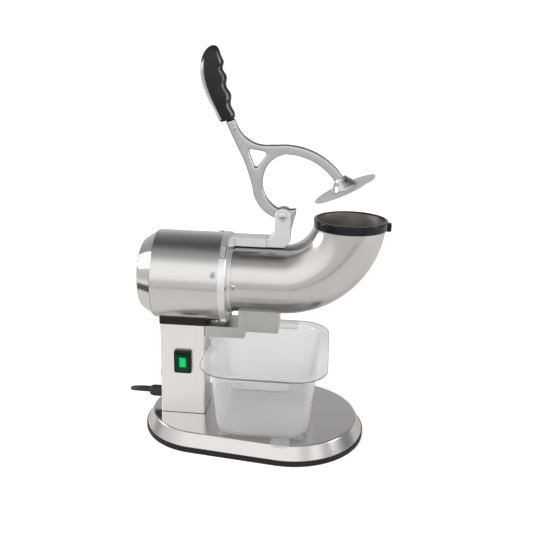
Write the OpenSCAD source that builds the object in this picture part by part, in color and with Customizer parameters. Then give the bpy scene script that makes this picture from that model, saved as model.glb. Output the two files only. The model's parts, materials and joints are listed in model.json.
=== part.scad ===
// Electric ice shaver: a motor head on a square column over a weighted base.
// Ice goes into the upturned mouth of the feed tube, the lever pushes it round the
// bend on to a spinning blade disc, and the snow drops down a chute into a clear tub.
// Millimetres. The origin is on the table under the middle of the machine's length,
// +X runs from the motor towards the mouth, -Y is the operator's side, +Z is up.

/* [Base] */
// Radius of the base outline at the column end
base_r_back = 94; // [90:0.5:98]
// Radius of the base outline at the mouth end
base_r_front = 111.5; // [106:0.5:116]
// Centre of the outline's back circle along X
base_x_back = -84.4; // [-88:0.2:-82]
// Centre of the outline's front circle along X
base_x_front = 45.6; // [40:0.2:52]
// Height of the base's flat top
base_h = 27.3; // [25:0.1:32]
// Width of the sloping shoulder
base_shoulder = 10; // [7:0.5:12]
// Height of the rubber edge
edge_h = 8; // [6:0.5:10]
// Thickness of the steel sheet
sheet = 1.5; // [1.2:0.1:2]

/* [Column] */
// Column width along X
col_w = 68.2; // [66:0.2:72]
// Column depth along Y
col_d = 52; // [48:1:56]
// Middle of the column along X
col_x = -118.5; // [-121:0.5:-117]
// Height of the column's top above the table
col_top = 173.5; // [172:0.5:175]

/* [Motor] */
// Height of the motor and feed tube axis
axis_z = 244; // [243.5:0.1:244.5]
// Outer radius of the motor shell
motor_r = 66; // [65.5:0.1:66.5]
// Back end of the end cap along X
motor_back = -180.4; // [-184:0.2:-178]
// Start of the end cap's cone
cone_x = -157.1; // [-160:0.1:-155]
// Radius at the small end of the cone
cone_r = 51; // [46:1:56]
// Radius of the motor shaft
shaft_r = 7; // [6:0.5:7.5]

/* [Head] */
// Back face of the head casting's ring
ring_x = -59.6; // [-60:0.1:-59]
// Width of the ring
ring_w = 10.2; // [9:0.1:11]
// Outer radius of the ring
ring_r = 67.2; // [67:0.1:68]
// Half the width of the arm that carries the lever
arm_half = 13.4; // [12.5:0.1:14]
// Height of the arm
arm_h = 12.6; // [11:0.1:13]

/* [Feed tube] */
// Outer diameter of the feed tube
tube_d = 101.6; // [101.2:0.1:102]
// Wall of the feed tube
tube_wall = 2; // [1.5:0.1:2.2]
// Back end of the feed tube along X
tube_x = -43.9; // [-44:0.1:-43]
// Radius of the bend's centre line, about the lever's pivot
bend_r = 96.5; // [96:0.1:97]
// Pivot and bend centre along X
pivot_x = 26; // [25.5:0.1:26.5]
// Outer radius of the mouth collar
collar_r = 53.2; // [53:0.1:55]

/* [Lever] */
// Thickness of the lever casting
lever_t = 12.6; // [11:0.1:13]
// Angle of the plunger disc above the mouth, in degrees
plunger_rise = 26.1; // [20:0.1:30]
// Inner radius of the plunger arm about the pivot
arm_r_in = 87.5; // [86:0.5:89]
// Outer radius of the plunger arm about the pivot
arm_r_out = 101; // [100:0.5:103]
// Diameter of the plunger disc
plunger_d = 92; // [84:1:94]
// Radius of the pivot pin
pin_r = 4; // [3:0.5:5]
// Thickness of the grip
grip_t = 23; // [20:1:26]

/* [Chute and tub] */
// Chute start along X
chute_x = -24.1; // [-25:0.1:-23]
// Chute length along X
chute_w = 48.7; // [46:0.1:49]
// Height of the chute's mouth above the table
chute_z = 167.4; // [160:0.1:175]
// Tub rim length along X
tub_l = 184.4; // [178:0.2:186]
// Tub rim width along Y
tub_w = 234; // [220:1:240]
// Tub's left rim edge along X
tub_x = -83.4; // [-83.6:0.1:-80]
// Tub rim height above the table
tub_top = 135; // [125:1:140]
// Wall of the tub
tub_wall = 2.4; // [2:0.1:3]

/* [Cord] */
// Cord diameter
cord_d = 6.5; // [6:0.5:7]
// Height of the cord gland above the table
gland_z = 48.9; // [42:0.1:60]

/* [Hidden] */

$fn = 96;
eps = 0.1;
steel = [0.72, 0.71, 0.70];
cast_grey = [0.78, 0.79, 0.81];
dark = [0.07, 0.07, 0.075];
copper = [0.72, 0.40, 0.22];

tube_r = tube_d / 2;
bore_r = tube_r - tube_wall;
pivot_z = axis_z + bend_r;
mouth_x = pivot_x + bend_r;
ring_front = ring_x + ring_w;
col_left = col_x - col_w / 2;
col_right = col_x + col_w / 2;

// ---------------------------------------------------------------- helpers

// Places a round piece on the motor axis, with its own z along +X from x.
module on_axis(x, z = axis_z) translate([x, 0, z]) rotate([0, 90, 0]) children();

// Turns a piece about the motor axis: a = 0 is the operator's side, a = 90 the top.
module round_axis(a) translate([0, 0, axis_z]) rotate([-a, 0, 0]) children();

// Places a piece whose z points out of the operator's side, towards -Y.
module facing_front(x, y, z) translate([x, y, z]) rotate([90, 0, 0]) children();

// Turns a drawing in X and Z into a plate of thickness t across Y.
module plate_xz(t, y = 0) translate([0, y, 0]) rotate([90, 0, 0])
    linear_extrude(t, center = true) children();

// A rectangle with round corners, from true circles.
module round_rect(w, d, r) {
    square([w - 2 * r, d], center = true);
    square([w, d - 2 * r], center = true);
    for (sx = [-1, 1], sy = [-1, 1])
        translate([sx * (w / 2 - r), sy * (d / 2 - r)]) circle(r);
}

module ring(r_out, r_in, h) difference() {
    cylinder(r = r_out, h = h);
    translate([0, 0, -eps]) cylinder(r = r_in, h = h + 2 * eps);
}

// Domed screw with a cross recess. Its head stands on z = 0 and its shank runs down.
module screw(head_r, head_h, shank_r, shank_l) difference() {
    union() {
        intersection() {
            translate([0, 0, head_h - 2.2 * head_r]) sphere(2.2 * head_r, $fn = 64);
            cylinder(r = head_r, h = head_h);
        }
        translate([0, 0, -shank_l]) cylinder(r = shank_r, h = shank_l + eps, $fn = 32);
    }
    for (a = [0, 90]) rotate(a)
        translate([-head_r * 0.55, -head_r * 0.13, head_h * 0.45])
            cube([head_r * 1.1, head_r * 0.26, head_h]);
}

// ---------------------------------------------------------------- base

// Slab of the base's outline grown by g: two discs and a band just inside their tangents.
module base_slab(g, h) {
    r1 = base_r_back + g;
    r2 = base_r_front + g;
    lean = asin((r2 - r1) / (base_x_front - base_x_back));
    translate([base_x_back, 0, 0]) cylinder(r = r1, h = h, $fn = 180);
    translate([base_x_front, 0, 0]) cylinder(r = r2, h = h, $fn = 180);
    linear_extrude(h) polygon([for (e = [[base_x_back, r1, 1], [base_x_front, r2, 1],
                                         [base_x_front, r2, -1], [base_x_back, r1, -1]])
        [e[0] - e[1] * sin(lean), e[2] * (e[1] - band_tuck) * cos(lean)]]);
}

// Solid of the pressed base: an upright skirt, then a sloping shoulder.
module base_block(g, z0, z1) hull() {
    for (e = [[base_x_back, base_r_back], [base_x_front, base_r_front]])
        translate([e[0], 0, 0]) {
            translate([0, 0, z0]) cylinder(r = e[1] + g, h = edge_h - z0, $fn = 72);
            translate([0, 0, edge_h]) cylinder(r1 = e[1] + g, r2 = e[1] + g - base_shoulder,
                                               h = z1 - edge_h, $fn = 72);
        }
}

band_tuck = 0.03;
plate_z = 2;
plate_top = plate_z + sheet;
foot_t = 3;
standoffs = [[-130, -52], [-130, 52], [-20, -84], [-20, 84], [110, -66], [110, 66]];
col_holes = [[-1, -1], [-1, 1], [1, -1], [1, 1]];

module base_pan() color(steel) difference() {
    base_block(0, plate_z, base_h);
    base_block(-sheet, plate_z - eps, base_h - sheet);
    translate([col_x, 0, base_h - 3]) cylinder(r = 12, h = 6);
    for (h = col_holes)
        translate([col_x + h[0] * 24, h[1] * 16, base_h - 3]) cylinder(r = 2.6, h = 6);
}

module base_edge() color(dark) difference() {
    base_slab(1.5, edge_h);
    translate([0, 0, plate_z]) base_slab(0.05, edge_h);
    translate([0, 0, -eps]) base_slab(-7, edge_h);
}

module bottom_plate() color(steel) translate([0, 0, plate_z]) difference() {
    base_slab(-sheet - 0.2, sheet);
    for (p = standoffs) translate([p[0], p[1], -eps]) cylinder(r = 2.2, h = 4);
}

module base_standoffs() color(steel) for (p = standoffs) translate([p[0], p[1], plate_top])
    difference() {
        cylinder(r = 5, h = base_h - sheet - plate_top, $fn = 6);
        translate([0, 0, -eps]) cylinder(r = 2, h = 14);
    }

module base_screws() color(steel) for (p = standoffs) translate([p[0], p[1], plate_z])
    mirror([0, 0, 1]) screw(4, 1.6, 2, 10);

// ---------------------------------------------------------------- column

switch_x = -117.6;
switch_z = 114.4;
bezel_w = 26.8;
bezel_h = 36.8;
gland_bore_r = 6.1;
wire_hole_r = 8;
// Bolts between the column and the motor stand this far each side of the middle.
bolt_dx = 24;

module column() color(steel) difference() {
    translate([col_x, 0, base_h]) linear_extrude(col_top - base_h - sheet) difference() {
        round_rect(col_w, col_d, 3);
        round_rect(col_w - 2 * sheet, col_d - 2 * sheet, 1.5);
    }
    translate([switch_x - 11, -col_d / 2 - 1, switch_z - 15]) cube([22, 4, 30]);
    translate([col_left - 1, 0, gland_z]) rotate([0, 90, 0]) cylinder(r = gland_bore_r, h = 4);
}

// Foot flange and top plate that close the column's ends.
module column_plate() color(steel) translate([col_x, 0, 0]) {
    difference() {
        translate([0, 0, col_top - sheet]) linear_extrude(sheet) round_rect(col_w, col_d, 3);
        translate([0, 0, col_top - 3]) cylinder(r = wire_hole_r, h = 6);
        for (s = [-1, 1]) translate([s * bolt_dx, 0, col_top - 3]) cylinder(r = 2.6, h = 6);
    }
    difference() {
        translate([0, 0, base_h]) linear_extrude(foot_t)
            round_rect(col_w - 2 * sheet - 0.2, col_d - 2 * sheet - 0.2, 1.4);
        translate([0, 0, base_h - 1]) cylinder(r = 12, h = 6);
        for (h = col_holes) translate([h[0] * 24, h[1] * 16, base_h - 1]) cylinder(r = 2.1, h = 6);
    }
}

// Four bolts up through the base into the foot flange, two up into the motor shell.
module column_bolts() color(steel) translate([col_x, 0, 0]) {
    for (h = col_holes) translate([h[0] * 24, h[1] * 16, base_h - sheet])
        mirror([0, 0, 1]) screw(4.5, 2.6, 2.05, 4.4);
    for (s = [-1, 1]) translate([s * bolt_dx, 0, col_top - sheet])
        mirror([0, 0, 1]) screw(4.8, 3.2, 2.5, 13);
}

module saddle_gasket() color(dark) difference() {
    translate([col_x + 0.4, 0, col_top]) linear_extrude(14) round_rect(70.4, 57, 3);
    on_axis(-160) cylinder(r = motor_r + 0.05, h = 90);
    translate([col_x, 0, col_top - 1]) cylinder(r = wire_hole_r, h = 16);
    for (s = [-1, 1]) translate([col_x + s * bolt_dx, 0, col_top - 1])
        cylinder(r = 2.6, h = 16);
}

arm_z0 = 156.5;
arm_z1 = 173.3;
post_w = 10.6;

// Folded box arm from the column that turns up into a post under the feed tube.
module support_arm() color(steel) {
    len = chute_x - col_right;
    post_x = len - post_w;
    fold_r = 4;
    post_h = 45;
    difference() {
        translate([col_right, 0, 0]) plate_xz(col_d) {
            translate([0.1, arm_z0]) square([len - fold_r - 0.3, arm_z1 - arm_z0]);
            translate([post_x, arm_z0 + fold_r]) square([post_w - 0.2, post_h]);
            translate([len - fold_r - 0.2, arm_z0 + fold_r]) circle(fold_r);
        }
        translate([col_right, 0, 0]) plate_xz(col_d - 2 * sheet) {
            translate([-1, arm_z0 + sheet]) square([post_x + 4, arm_z1 - arm_z0 - 2 * sheet]);
            translate([post_x + sheet, arm_z0 + fold_r]) square([post_w - 2 * sheet - 0.2, 60]);
        }
        on_axis(-50) cylinder(r = tube_r + 0.05, h = 40);
    }
}

// ---------------------------------------------------------------- motor

shell_in = motor_r - sheet;
shell_screw_x = -66.6;
shell_screw_a = 18;

module motor_shell() color(steel) difference() {
    on_axis(cone_x) ring(motor_r, shell_in, ring_x - cone_x);
    translate([col_x, 0, axis_z - motor_r - 2]) cylinder(r = wire_hole_r, h = 8);
    for (s = [-1, 1]) translate([col_x + s * bolt_dx, 0, axis_z - motor_r - 2])
        cylinder(r = 2.6, h = 8);
    for (k = [0 : 3]) round_axis(shell_screw_a + 90 * k)
        translate([shell_screw_x, 0, 0]) rotate([90, 0, 0]) cylinder(r = 2.2, h = 80);
}

// Spun steel cap: a lip inside the shell, a cone, a rolled rim and a flat back with vents.
module motor_end_cap() color(steel) difference() {
    on_axis(0) rotate_extrude($fn = 144) polygon([
        [shell_in - 0.05, cone_x + 8], [shell_in - 0.05, cone_x - 0.2],
        [motor_r, cone_x - 0.2], [cone_r + 1, motor_back + 1.6],
        [cone_r - 0.6, motor_back], [0, motor_back],
        [0, motor_back + sheet], [cone_r - 1.5, motor_back + sheet],
        [shell_in - sheet, cone_x], [shell_in - sheet, cone_x + 8]]);
    for (k = [0 : 11]) round_axis(30 * k) {
        translate([motor_back - 1, -38, -1.6]) cube([5, 18, 3.2]);
        for (y = [-38, -20]) translate([motor_back - 1, y, 0]) rotate([0, 90, 0])
            cylinder(r = 1.6, h = 5, $fn = 24);
    }
}

bell_x = -157;
bearing_w = 10;
bearing_out = 16;

// Spoked frame inside the shell that carries the rear bearing.
module end_bell() color(cast_grey) {
    on_axis(bell_x) difference() {
        union() {
            ring(shell_in - sheet - 0.1, 56, 9);
            ring(21, bearing_out + 0.02, 10.5);
        }
        translate([0, 0, -1]) cylinder(r = bearing_out + 0.02, h = 20);
    }
    for (k = [0 : 3]) round_axis(45 + 90 * k) translate([bell_x, -57, -4]) cube([4.9, 37.5, 8]);
}

stack_x = -142;
stack_l = 48;
rotor_r = 33;
end_ring = 3;

module stator_core() color([0.35, 0.36, 0.38]) on_axis(stack_x) difference() {
    cylinder(r = 60, h = stack_l);
    translate([0, 0, -1]) cylinder(r = rotor_r + 0.6, h = stack_l + 2);
    for (k = [0 : 7]) rotate(k * 45) translate([61, 0, -1]) cylinder(r = 5, h = stack_l + 2);
}

module stator_windings() color(copper)
    for (x = [stack_x - 10, stack_x + stack_l]) on_axis(x)
        rotate_extrude() translate([46.5, 5]) round_rect(17, 9.9, 4);

module bearing() difference() {
    union() {
        ring(bearing_out, 12.6, bearing_w);
        ring(10.2, shaft_r + 0.01, bearing_w);
        translate([0, 0, 1]) ring(13, 10, bearing_w - 2);
    }
    translate([0, 0, -1]) cylinder(r = shaft_r + 0.01, h = bearing_w + 2);
}

module rear_bearing() color("silver") on_axis(bell_x + 1) bearing();
module front_bearing() color("silver") on_axis(ring_x - 10) bearing();

module shaft_seal() color(dark) on_axis(ring_front - 2)
    ring(12.5, shaft_r + 0.05, 7);

module shell_screws() color("silver") for (k = [0 : 3])
    round_axis(shell_screw_a + 90 * k) translate([shell_screw_x, -motor_r - 0.05, 0])
        rotate([90, 0, 0]) screw(4.6, 2.6, 2, 6);

// Running capacitor, standing on the foot flange inside the column.
module capacitor() color([0.85, 0.86, 0.88]) translate([col_x + 14, 0, base_h + foot_t + 0.05]) {
    cylinder(r = 15, h = 56);
    for (s = [-1, 1]) translate([s * 5, 0, 56]) cylinder(r = 2.5, h = 5, $fn = 24);
}

// ---------------------------------------------------------------- rotor

disc_x = 20.5;
disc_t = 4;
disc_r = 47.8;
disc_front = disc_x + disc_t;

module motor_shaft() color("silver") {
    on_axis(motor_back + 8) cylinder(r = shaft_r, h = disc_x - motor_back - 8);
    on_axis(disc_x) cylinder(r = 5, h = disc_t + 9);
}

module rotor_core() color([0.45, 0.46, 0.48]) on_axis(stack_x) difference() {
    union() {
        cylinder(r = rotor_r, h = stack_l);
        translate([0, 0, -end_ring]) cylinder(r = rotor_r - 3, h = stack_l + 2 * end_ring);
    }
    translate([0, 0, -end_ring - 1]) cylinder(r = shaft_r, h = stack_l + 2 * end_ring + 2);
}

fan_r = 43;

module cooling_fan() color([0.2, 0.2, 0.22]) on_axis(motor_back + 9) difference() {
    union() {
        cylinder(r = 13, h = 11);
        for (k = [0 : 7]) rotate(45 * k) translate([10, -1, 0]) cube([fan_r - 11, 2, 10]);
        translate([0, 0, 9]) cylinder(r = fan_r, h = 1.6);
    }
    translate([0, 0, -1]) cylinder(r = shaft_r, h = 20);
}

module disc_slot(w) translate([9 + w, -2, 0]) union() {
    translate([0, -w / 2, 0]) cube([31 - w, w, 20], center = false);
    for (x = [0, 31 - w]) translate([x, 0, 0]) cylinder(r = w / 2, h = 20, $fn = 32);
}

// Blade disc: three slots, each with a blade bolted beside it.
module blade_disc() color(steel) on_axis(disc_x) difference() {
    union() {
        cylinder(r = disc_r, h = disc_t);
        translate([0, 0, -10]) cylinder(r = 12, h = 10 + eps);
    }
    translate([0, 0, -11]) cylinder(r = shaft_r, h = 11);
    translate([0, 0, -1]) cylinder(r = 5, h = 20);
    for (k = [0 : 2]) rotate(120 * k) {
        translate([0, 0, -1]) disc_slot(6);
        for (x = [22, 36]) translate([x, 6.5, 1]) cylinder(r = 1.5, h = 6, $fn = 24);
    }
}

// Bevelled blades, their edges over the slots.
module blades() color([0.86, 0.87, 0.89]) for (k = [0 : 2])
    on_axis(disc_front) rotate(120 * k) difference() {
        translate([15, 0, 0]) rotate([90, 0, 90])
            linear_extrude(28) polygon([[-3.2, 0.1], [12, 0.1], [12, 1.6], [0.5, 1.6]]);
        for (x = [22, 36]) translate([x, 6.5, -1]) cylinder(r = 1.6, h = 6, $fn = 24);
    }

module blade_screws() color("silver") for (k = [0 : 2])
    on_axis(disc_front + 1.6) rotate(120 * k)
        for (x = [22, 36]) translate([x, 6.5, 0]) screw(2.8, 1.6, 1.4, 4);

module disc_nut() color("silver") on_axis(disc_front) difference() {
    union() {
        cylinder(r = 8.5, h = 5.5, $fn = 6);
        cylinder(r = 7, h = 5.5);
        translate([0, 0, 5.5]) intersection() {
            sphere(7);
            cylinder(r = 7, h = 7);
        }
    }
    translate([0, 0, -1]) cylinder(r = 5, h = 10.1);
}

// Arms behind the disc that sweep the snow down the chute.
module snow_paddle() color(steel) on_axis(-32) difference() {
    union() {
        cylinder(r = 12, h = 42);
        for (a = [0, 180]) rotate(a) translate([10, -1.5, 10]) cube([33, 3, 32]);
    }
    translate([0, 0, -1]) cylinder(r = shaft_r, h = 50);
}

// ---------------------------------------------------------------- head

boss_r = 52.5;
spigot_r = bore_r - 0.1;
arm_z = axis_z + tube_r + 0.3;
arm_end = 3.6;
// Screws in the ring's face, at both sides and below; the arm covers the top.
ring_screw_a = [0, 180, 270];
ring_screw_r = 60;

// Ring, bearing seat, tube spigot and lever arm, cast in one piece.
module head_casting() color(cast_grey) {
    difference() {
        union() {
            on_axis(0) rotate_extrude($fn = 144) polygon([
                [0, ring_x], [bearing_out, ring_x], [bearing_out, ring_x - 10],
                [21, ring_x - 10], [21, ring_x], [shell_in - 6, ring_x],
                [shell_in - 6, ring_x - 7], [shell_in - 0.1, ring_x - 7],
                [shell_in - 0.1, ring_x + 0.1], [ring_r, ring_x + 0.1],
                [ring_r, ring_front - 1], [ring_r - 1, ring_front],
                [boss_r, ring_front], [boss_r, tube_x - 0.1],
                [spigot_r, tube_x - 0.1], [spigot_r, tube_x + 10],
                [spigot_r - 4, tube_x + 10], [spigot_r - 4, ring_front], [0, ring_front]]);
            // Bolting pads on the ring's rim, above and below on both sides.
            for (a = [48, 132, -62, -118]) round_axis(a)
                translate([ring_x + 0.6, -ring_r - 1.2, -11]) cube([9, 4, 22]);
            arm_body();
        }
        on_axis(ring_x - 20) cylinder(r = shaft_r + 1, h = 60);
        on_axis(ring_front - 2) cylinder(r = 12.5, h = 20);
        for (a = ring_screw_a) round_axis(a) translate([ring_front - 7, -ring_screw_r, 0])
            rotate([0, 90, 0]) cylinder(r = 1.7, h = 20, $fn = 32);
        for (k = [0, 1]) round_axis(180 * k) translate([tube_x + 5.3, 0, 0])
            rotate([90, 0, 0]) cylinder(r = 1.8, h = 70, $fn = 32);
        for (k = [0 : 3]) round_axis(shell_screw_a + 90 * k)
            translate([shell_screw_x, 0, 0]) rotate([90, 0, 0]) cylinder(r = 2.05, h = 90);
    }
}

// The arm runs over the tube from the ring to the clevis, with a gusset each side.
module arm_body() {
    translate([ring_x + 1, -arm_half, arm_z]) cube([arm_end - ring_x - 1, 2 * arm_half, arm_h]);
    translate([0, 0, arm_z]) linear_extrude(arm_h - 1.6) polygon([
        [ring_front - 6, -23], [ring_front - 0.5, -23], [ring_front + 9, -arm_half],
        [ring_front + 9, arm_half], [ring_front - 0.5, 23], [ring_front - 6, 23]]);
    translate([arm_end - eps, -6, arm_z + 2]) cube([9, 12, 6]);
}

module head_screws() color("silver") for (a = ring_screw_a)
    round_axis(a) translate([ring_front, -ring_screw_r, 0]) rotate([0, 90, 0])
        screw(2.8, 1.8, 1.65, 6);

cheek_r = 11.6;
slot_half = 7;
slot_z = pivot_z - 26;

// Fork block at the arm's end: a foot, two cheeks and a slot for the lever.
module clevis() color(cast_grey) difference() {
    union() {
        plate_xz(2 * arm_half + 0.6) polygon([
            [arm_end + 0.05, arm_z], [pivot_x + 3, arm_z], [pivot_x + cheek_r, arm_z + 9],
            [pivot_x + cheek_r, pivot_z], [pivot_x - cheek_r, pivot_z],
            [pivot_x - cheek_r, arm_z + 22], [pivot_x - cheek_r - 7, arm_z + arm_h],
            [arm_end + 0.05, arm_z + arm_h]]);
        translate([pivot_x, 0, pivot_z]) rotate([90, 0, 0])
            cylinder(r = cheek_r, h = 2 * arm_half + 0.6, center = true);
    }
    translate([pivot_x - 20, -slot_half, slot_z]) cube([40, 2 * slot_half, 60]);
    translate([pivot_x, 30, pivot_z]) rotate([90, 0, 0]) cylinder(r = pin_r + 0.02, h = 60);
    translate([arm_end - 1, -6.05, arm_z + 1.95]) cube([9.95, 12.1, 6.1]);
}

// ---------------------------------------------------------------- tube and chute

mouth_z = pivot_z - 2.5;

// Straight run, then a quarter bend about the lever's pivot up to the mouth.
module feed_tube() color(steel) difference() {
    union() {
        on_axis(tube_x) cylinder(r = tube_r, h = pivot_x - tube_x);
        bend(tube_r);
    }
    on_axis(tube_x - 1) cylinder(r = bore_r, h = pivot_x - tube_x + 1);
    bend(bore_r);
    translate([mouth_x - 60, -60, mouth_z]) cube([120, 120, 10]);
    translate([chute_x + sheet, -23, axis_z - 60]) cube([disc_x - 3 - chute_x, 46, 40]);
    for (k = [0, 1]) round_axis(180 * k) translate([tube_x + 5.3, 0, 0])
        rotate([90, 0, 0]) cylinder(r = 1.8, h = 70, $fn = 32);
}

module bend(r) translate([pivot_x, 0, pivot_z]) rotate([90, 0, 0])
    rotate([0, 0, -90]) rotate_extrude(angle = 90, $fn = 180)
        translate([bend_r, 0]) circle(r);

module tube_screws() color("silver") for (k = [0, 1])
    round_axis(180 * k) translate([tube_x + 5.3, -tube_r - 0.1, 0]) rotate([90, 0, 0])
        screw(4.3, 2.4, 1.75, 5.5);

collar_z = 327;
collar_top = mouth_z + 1.5;
lug_end = 180.4;

// Moulded collar on the mouth: an upright band, an inner lip over the tube's end, a lug.
module mouth_collar() color(dark) {
    difference() {
        union() {
            translate([mouth_x, 0, collar_z]) cylinder(r = collar_r, h = collar_top - collar_z, $fn = 144);
            plate_xz(10) polygon([[mouth_x + collar_r - 2, collar_z + 12.5],
                [lug_end - 2, collar_z + 10.5], [lug_end, collar_z + 8], [lug_end, collar_z - 3],
                [mouth_x + collar_r + 1.2, collar_z - 3], [mouth_x + collar_r - 2, collar_z + 2]]);
        }
        translate([mouth_x, 0, collar_z - 1]) cylinder(r = bore_r - 0.2, h = 30, $fn = 144);
        translate([mouth_x, 0, collar_z - 5])
            cylinder(r = tube_r + 0.05, h = 5.05 + mouth_z - collar_z);
        bend(tube_r + 0.05);
        translate([lug_end - 4, 0, collar_z - 5]) cylinder(r = 1.6, h = 14, $fn = 32);
    }
}

module collar_screw() color("silver") translate([lug_end - 4, 0, collar_z - 3])
    mirror([0, 0, 1]) screw(2.9, 1.6, 1.55, 9);

// Square chute under the tube, folded from sheet with a seam down each broad side.
module chute() color(steel) {
    top = axis_z - 30;
    difference() {
        translate([chute_x, -col_d / 2, chute_z]) cube([chute_w, col_d, top - chute_z]);
        translate([chute_x + sheet, -col_d / 2 + sheet, chute_z - 1])
            cube([chute_w - 2 * sheet, col_d - 2 * sheet, 80]);
        on_axis(chute_x - 1) cylinder(r = tube_r + 0.05, h = chute_w + 2);
        for (s = [-1, 1]) translate([chute_x + 18.7, s * col_d / 2 - 0.35, chute_z - 1])
            cube([0.6, 0.7, 60]);
        for (z = [178, 187]) translate([chute_x + chute_w - 3, -17, z]) rotate([0, 90, 0])
            cylinder(r = 1.2, h = 5, $fn = 32);
    }
}

// ---------------------------------------------------------------- lever

module at_pivot() translate([pivot_x, 0, pivot_z]) children();

// Plunger frame: z leaves the disc towards the arm, x points away from the pivot.
module at_plunger() at_pivot() rotate([0, -plunger_rise, 0])
    translate([(arm_r_in + arm_r_out) / 2 + 0.95, 0, 0]) children();

// Where the arm ends and the hub starts, in degrees above the mouth.
hub_split = plunger_rise + 8.4;
far = 160;

module wedge(a0, a1) polygon([[0, 0], for (a = [a0, (a0 + a1) / 2, a1]) far * [cos(a), sin(a)]]);

tang = [[-80, 122], [-74, 126], [-92.5, 200], [-101.5, 197]];

// Outline of the casting about the pivot, in X and Z.
module lever_outline() {
    difference() {
        union() {
            polygon([[-84.6, 129.8], [-70.6, 101.5], [-57.4, 75.4], [-50.5, 56], [-45.8, 39],
                     [-28, 39], [-1.3, arm_r_in], [-1.3, arm_r_out], [-27.3, 99.6],
                     [-72.3, 134.6]]);
            intersection() {
                translate([4.7, 43.6]) circle(50.5);
                translate([-50, -8]) square([51, 52]);
            }
        }
        translate([10.2, 47.1]) circle(41);
        translate([6.7, 50.6]) circle(37);
        translate([-27.3, 144.6]) circle(45);
        hull() for (c = [[-48.3, 90.3], [-29, 87.2], [-40.6, 70.8]])
            translate(c) circle(2.8, $fn = 32);
    }
    intersection() {
        difference() {
            circle(arm_r_out, $fn = 180);
            circle(arm_r_in, $fn = 180);
        }
        wedge(hub_split, 90.8);
    }
    circle(12);
    // Stop lug behind the pivot.
    polygon([[0, 9], [9, 9.5], [16.9, 11], [19.1, 8], [16.6, -1.9], [14, -12.3],
             [12.2, -20], [4, -9]]);
}

module lever() color([0.70, 0.71, 0.73]) difference() {
    at_pivot() {
        plate_xz(lever_t) lever_outline();
        plate_xz(6) polygon(tang);
    }
    at_pivot() rotate([90, 0, 0]) cylinder(r = 6, h = 30, center = true);
    at_plunger() cylinder(r = 2.5, h = 22);
    at_pivot() facing_front(-70.5, 0, 121) cylinder(r = 1.6, h = 10, $fn = 32);
}

// Grip outline: a bent spine with a smooth back and four finger waves in front.
function spine(t) = pow(1 - t, 3) * [-82.2, 131.5] + 3 * t * pow(1 - t, 2) * [-90, 160]
    + 3 * t * t * (1 - t) * [-116, 198] + t * t * t * [-97.5, 232.3];
function spine_dir(t) = let (d = spine(t + 0.01) - spine(t - 0.01)) d / norm(d);
function half_w(t) = (9.8 + 7 * sin(150 * t)) * sqrt(1 - pow(t, 7));
function wave(t) = 1.7 * cos(360 * (4 * t - 0.25)) * (1 - pow(t, 9));
function side(t, s) = let (d = spine_dir(t))
    spine(t) + s * (half_w(t) + (s > 0 ? wave(t) : 0)) * [d[1], -d[0]];
grip_steps = 44;

module grip_outline() polygon(concat(
    [for (i = [0 : grip_steps]) side(i / grip_steps, -1)],
    [for (i = [grip_steps : -1 : 0]) side(i / grip_steps, 1)]));

module grip() color(dark) at_pivot() difference() {
    plate_xz(grip_t) grip_outline();
    plate_xz(6.05) polygon(tang);
    plate_xz(lever_t + 0.05) polygon([[-88, 124], [-66, 136], [-71, 137.6], [-86, 131.4]]);
}

module grip_screw() color("silver") at_pivot()
    facing_front(-70.5, -lever_t / 2, 121) screw(2.7, 1.5, 1.5, 5.5);

module pivot_bush() color([0.72, 0.56, 0.30]) at_pivot() rotate([90, 0, 0])
    translate([0, 0, -lever_t / 2]) ring(5.98, pin_r + 0.05, lever_t);

module pivot_pin() color("silver") at_pivot() facing_front(0, -arm_half - 0.35, 0)
    screw(6.6, 3.6, pin_r, 2 * arm_half + 6);

module pivot_nut() color("silver") at_pivot() translate([0, arm_half + 0.35, 0])
    rotate([-90, 0, 0]) difference() {
        cylinder(r = 7.2, h = 5, $fn = 6);
        translate([0, 0, -1]) cylinder(r = pin_r + 0.02, h = 8);
    }

module pivot_washers() color([0.9, 0.9, 0.88]) for (s = [-1, 1])
    at_pivot() translate([0, s * 6.65, 0]) rotate([90, 0, 0]) translate([0, 0, -0.28])
        ring(8, pin_r + 0.02, 0.56);

hub_top = 17;
hub_r = 20;
neck_r = 8.6;

// Bell-shaped hub that spreads the arm's push over the plunger disc.
module plunger_hub() color([0.74, 0.75, 0.77]) difference() {
    at_plunger() rotate_extrude() difference() {
        translate([0, 0.8]) square([hub_r, hub_top]);
        // Hollow flank of the bell.
        translate([hub_r + 0.4, 14.4]) circle(hub_r - neck_r);
        translate([neck_r, 14.2]) square([hub_r, 10]);
    }
    at_pivot() plate_xz(60) wedge(hub_split, hub_split + 40);
    at_plunger() cylinder(r = 2.5, h = 30);
}

module plunger_disc() color([0.66, 0.67, 0.66]) at_plunger() difference() {
    translate([0, 0, -0.75]) cylinder(d = plunger_d, h = 1.5, $fn = 144);
    translate([0, 0, -2]) cylinder(r = 2.6, h = 4);
    for (k = [0 : 3]) rotate(90 * k) translate([plunger_d / 2 - 6, 0, -2])
        cylinder(r = 1.6, h = 4, $fn = 32);
}

module plunger_screw() color("silver") at_plunger() translate([0, 0, -0.8])
    mirror([0, 0, 1]) screw(5.5, 1.9, 2.45, 21);

// ---------------------------------------------------------------- switch

front_y = -col_d / 2;
rocker_y = front_y - 1.5;

module switch_bezel() color(dark) difference() {
    translate([switch_x, front_y - 0.05, switch_z]) rotate([90, 0, 0])
        linear_extrude(4) round_rect(bezel_w, bezel_h, 3);
    translate([switch_x - 10.1, front_y - 8, switch_z - 14.1]) cube([20.2, 20, 28.2]);
    translate([switch_x, rocker_y, switch_z]) rotate([0, 90, 0])
        cylinder(r = axle_r + 0.06, h = 22.6, center = true);
}

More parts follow.
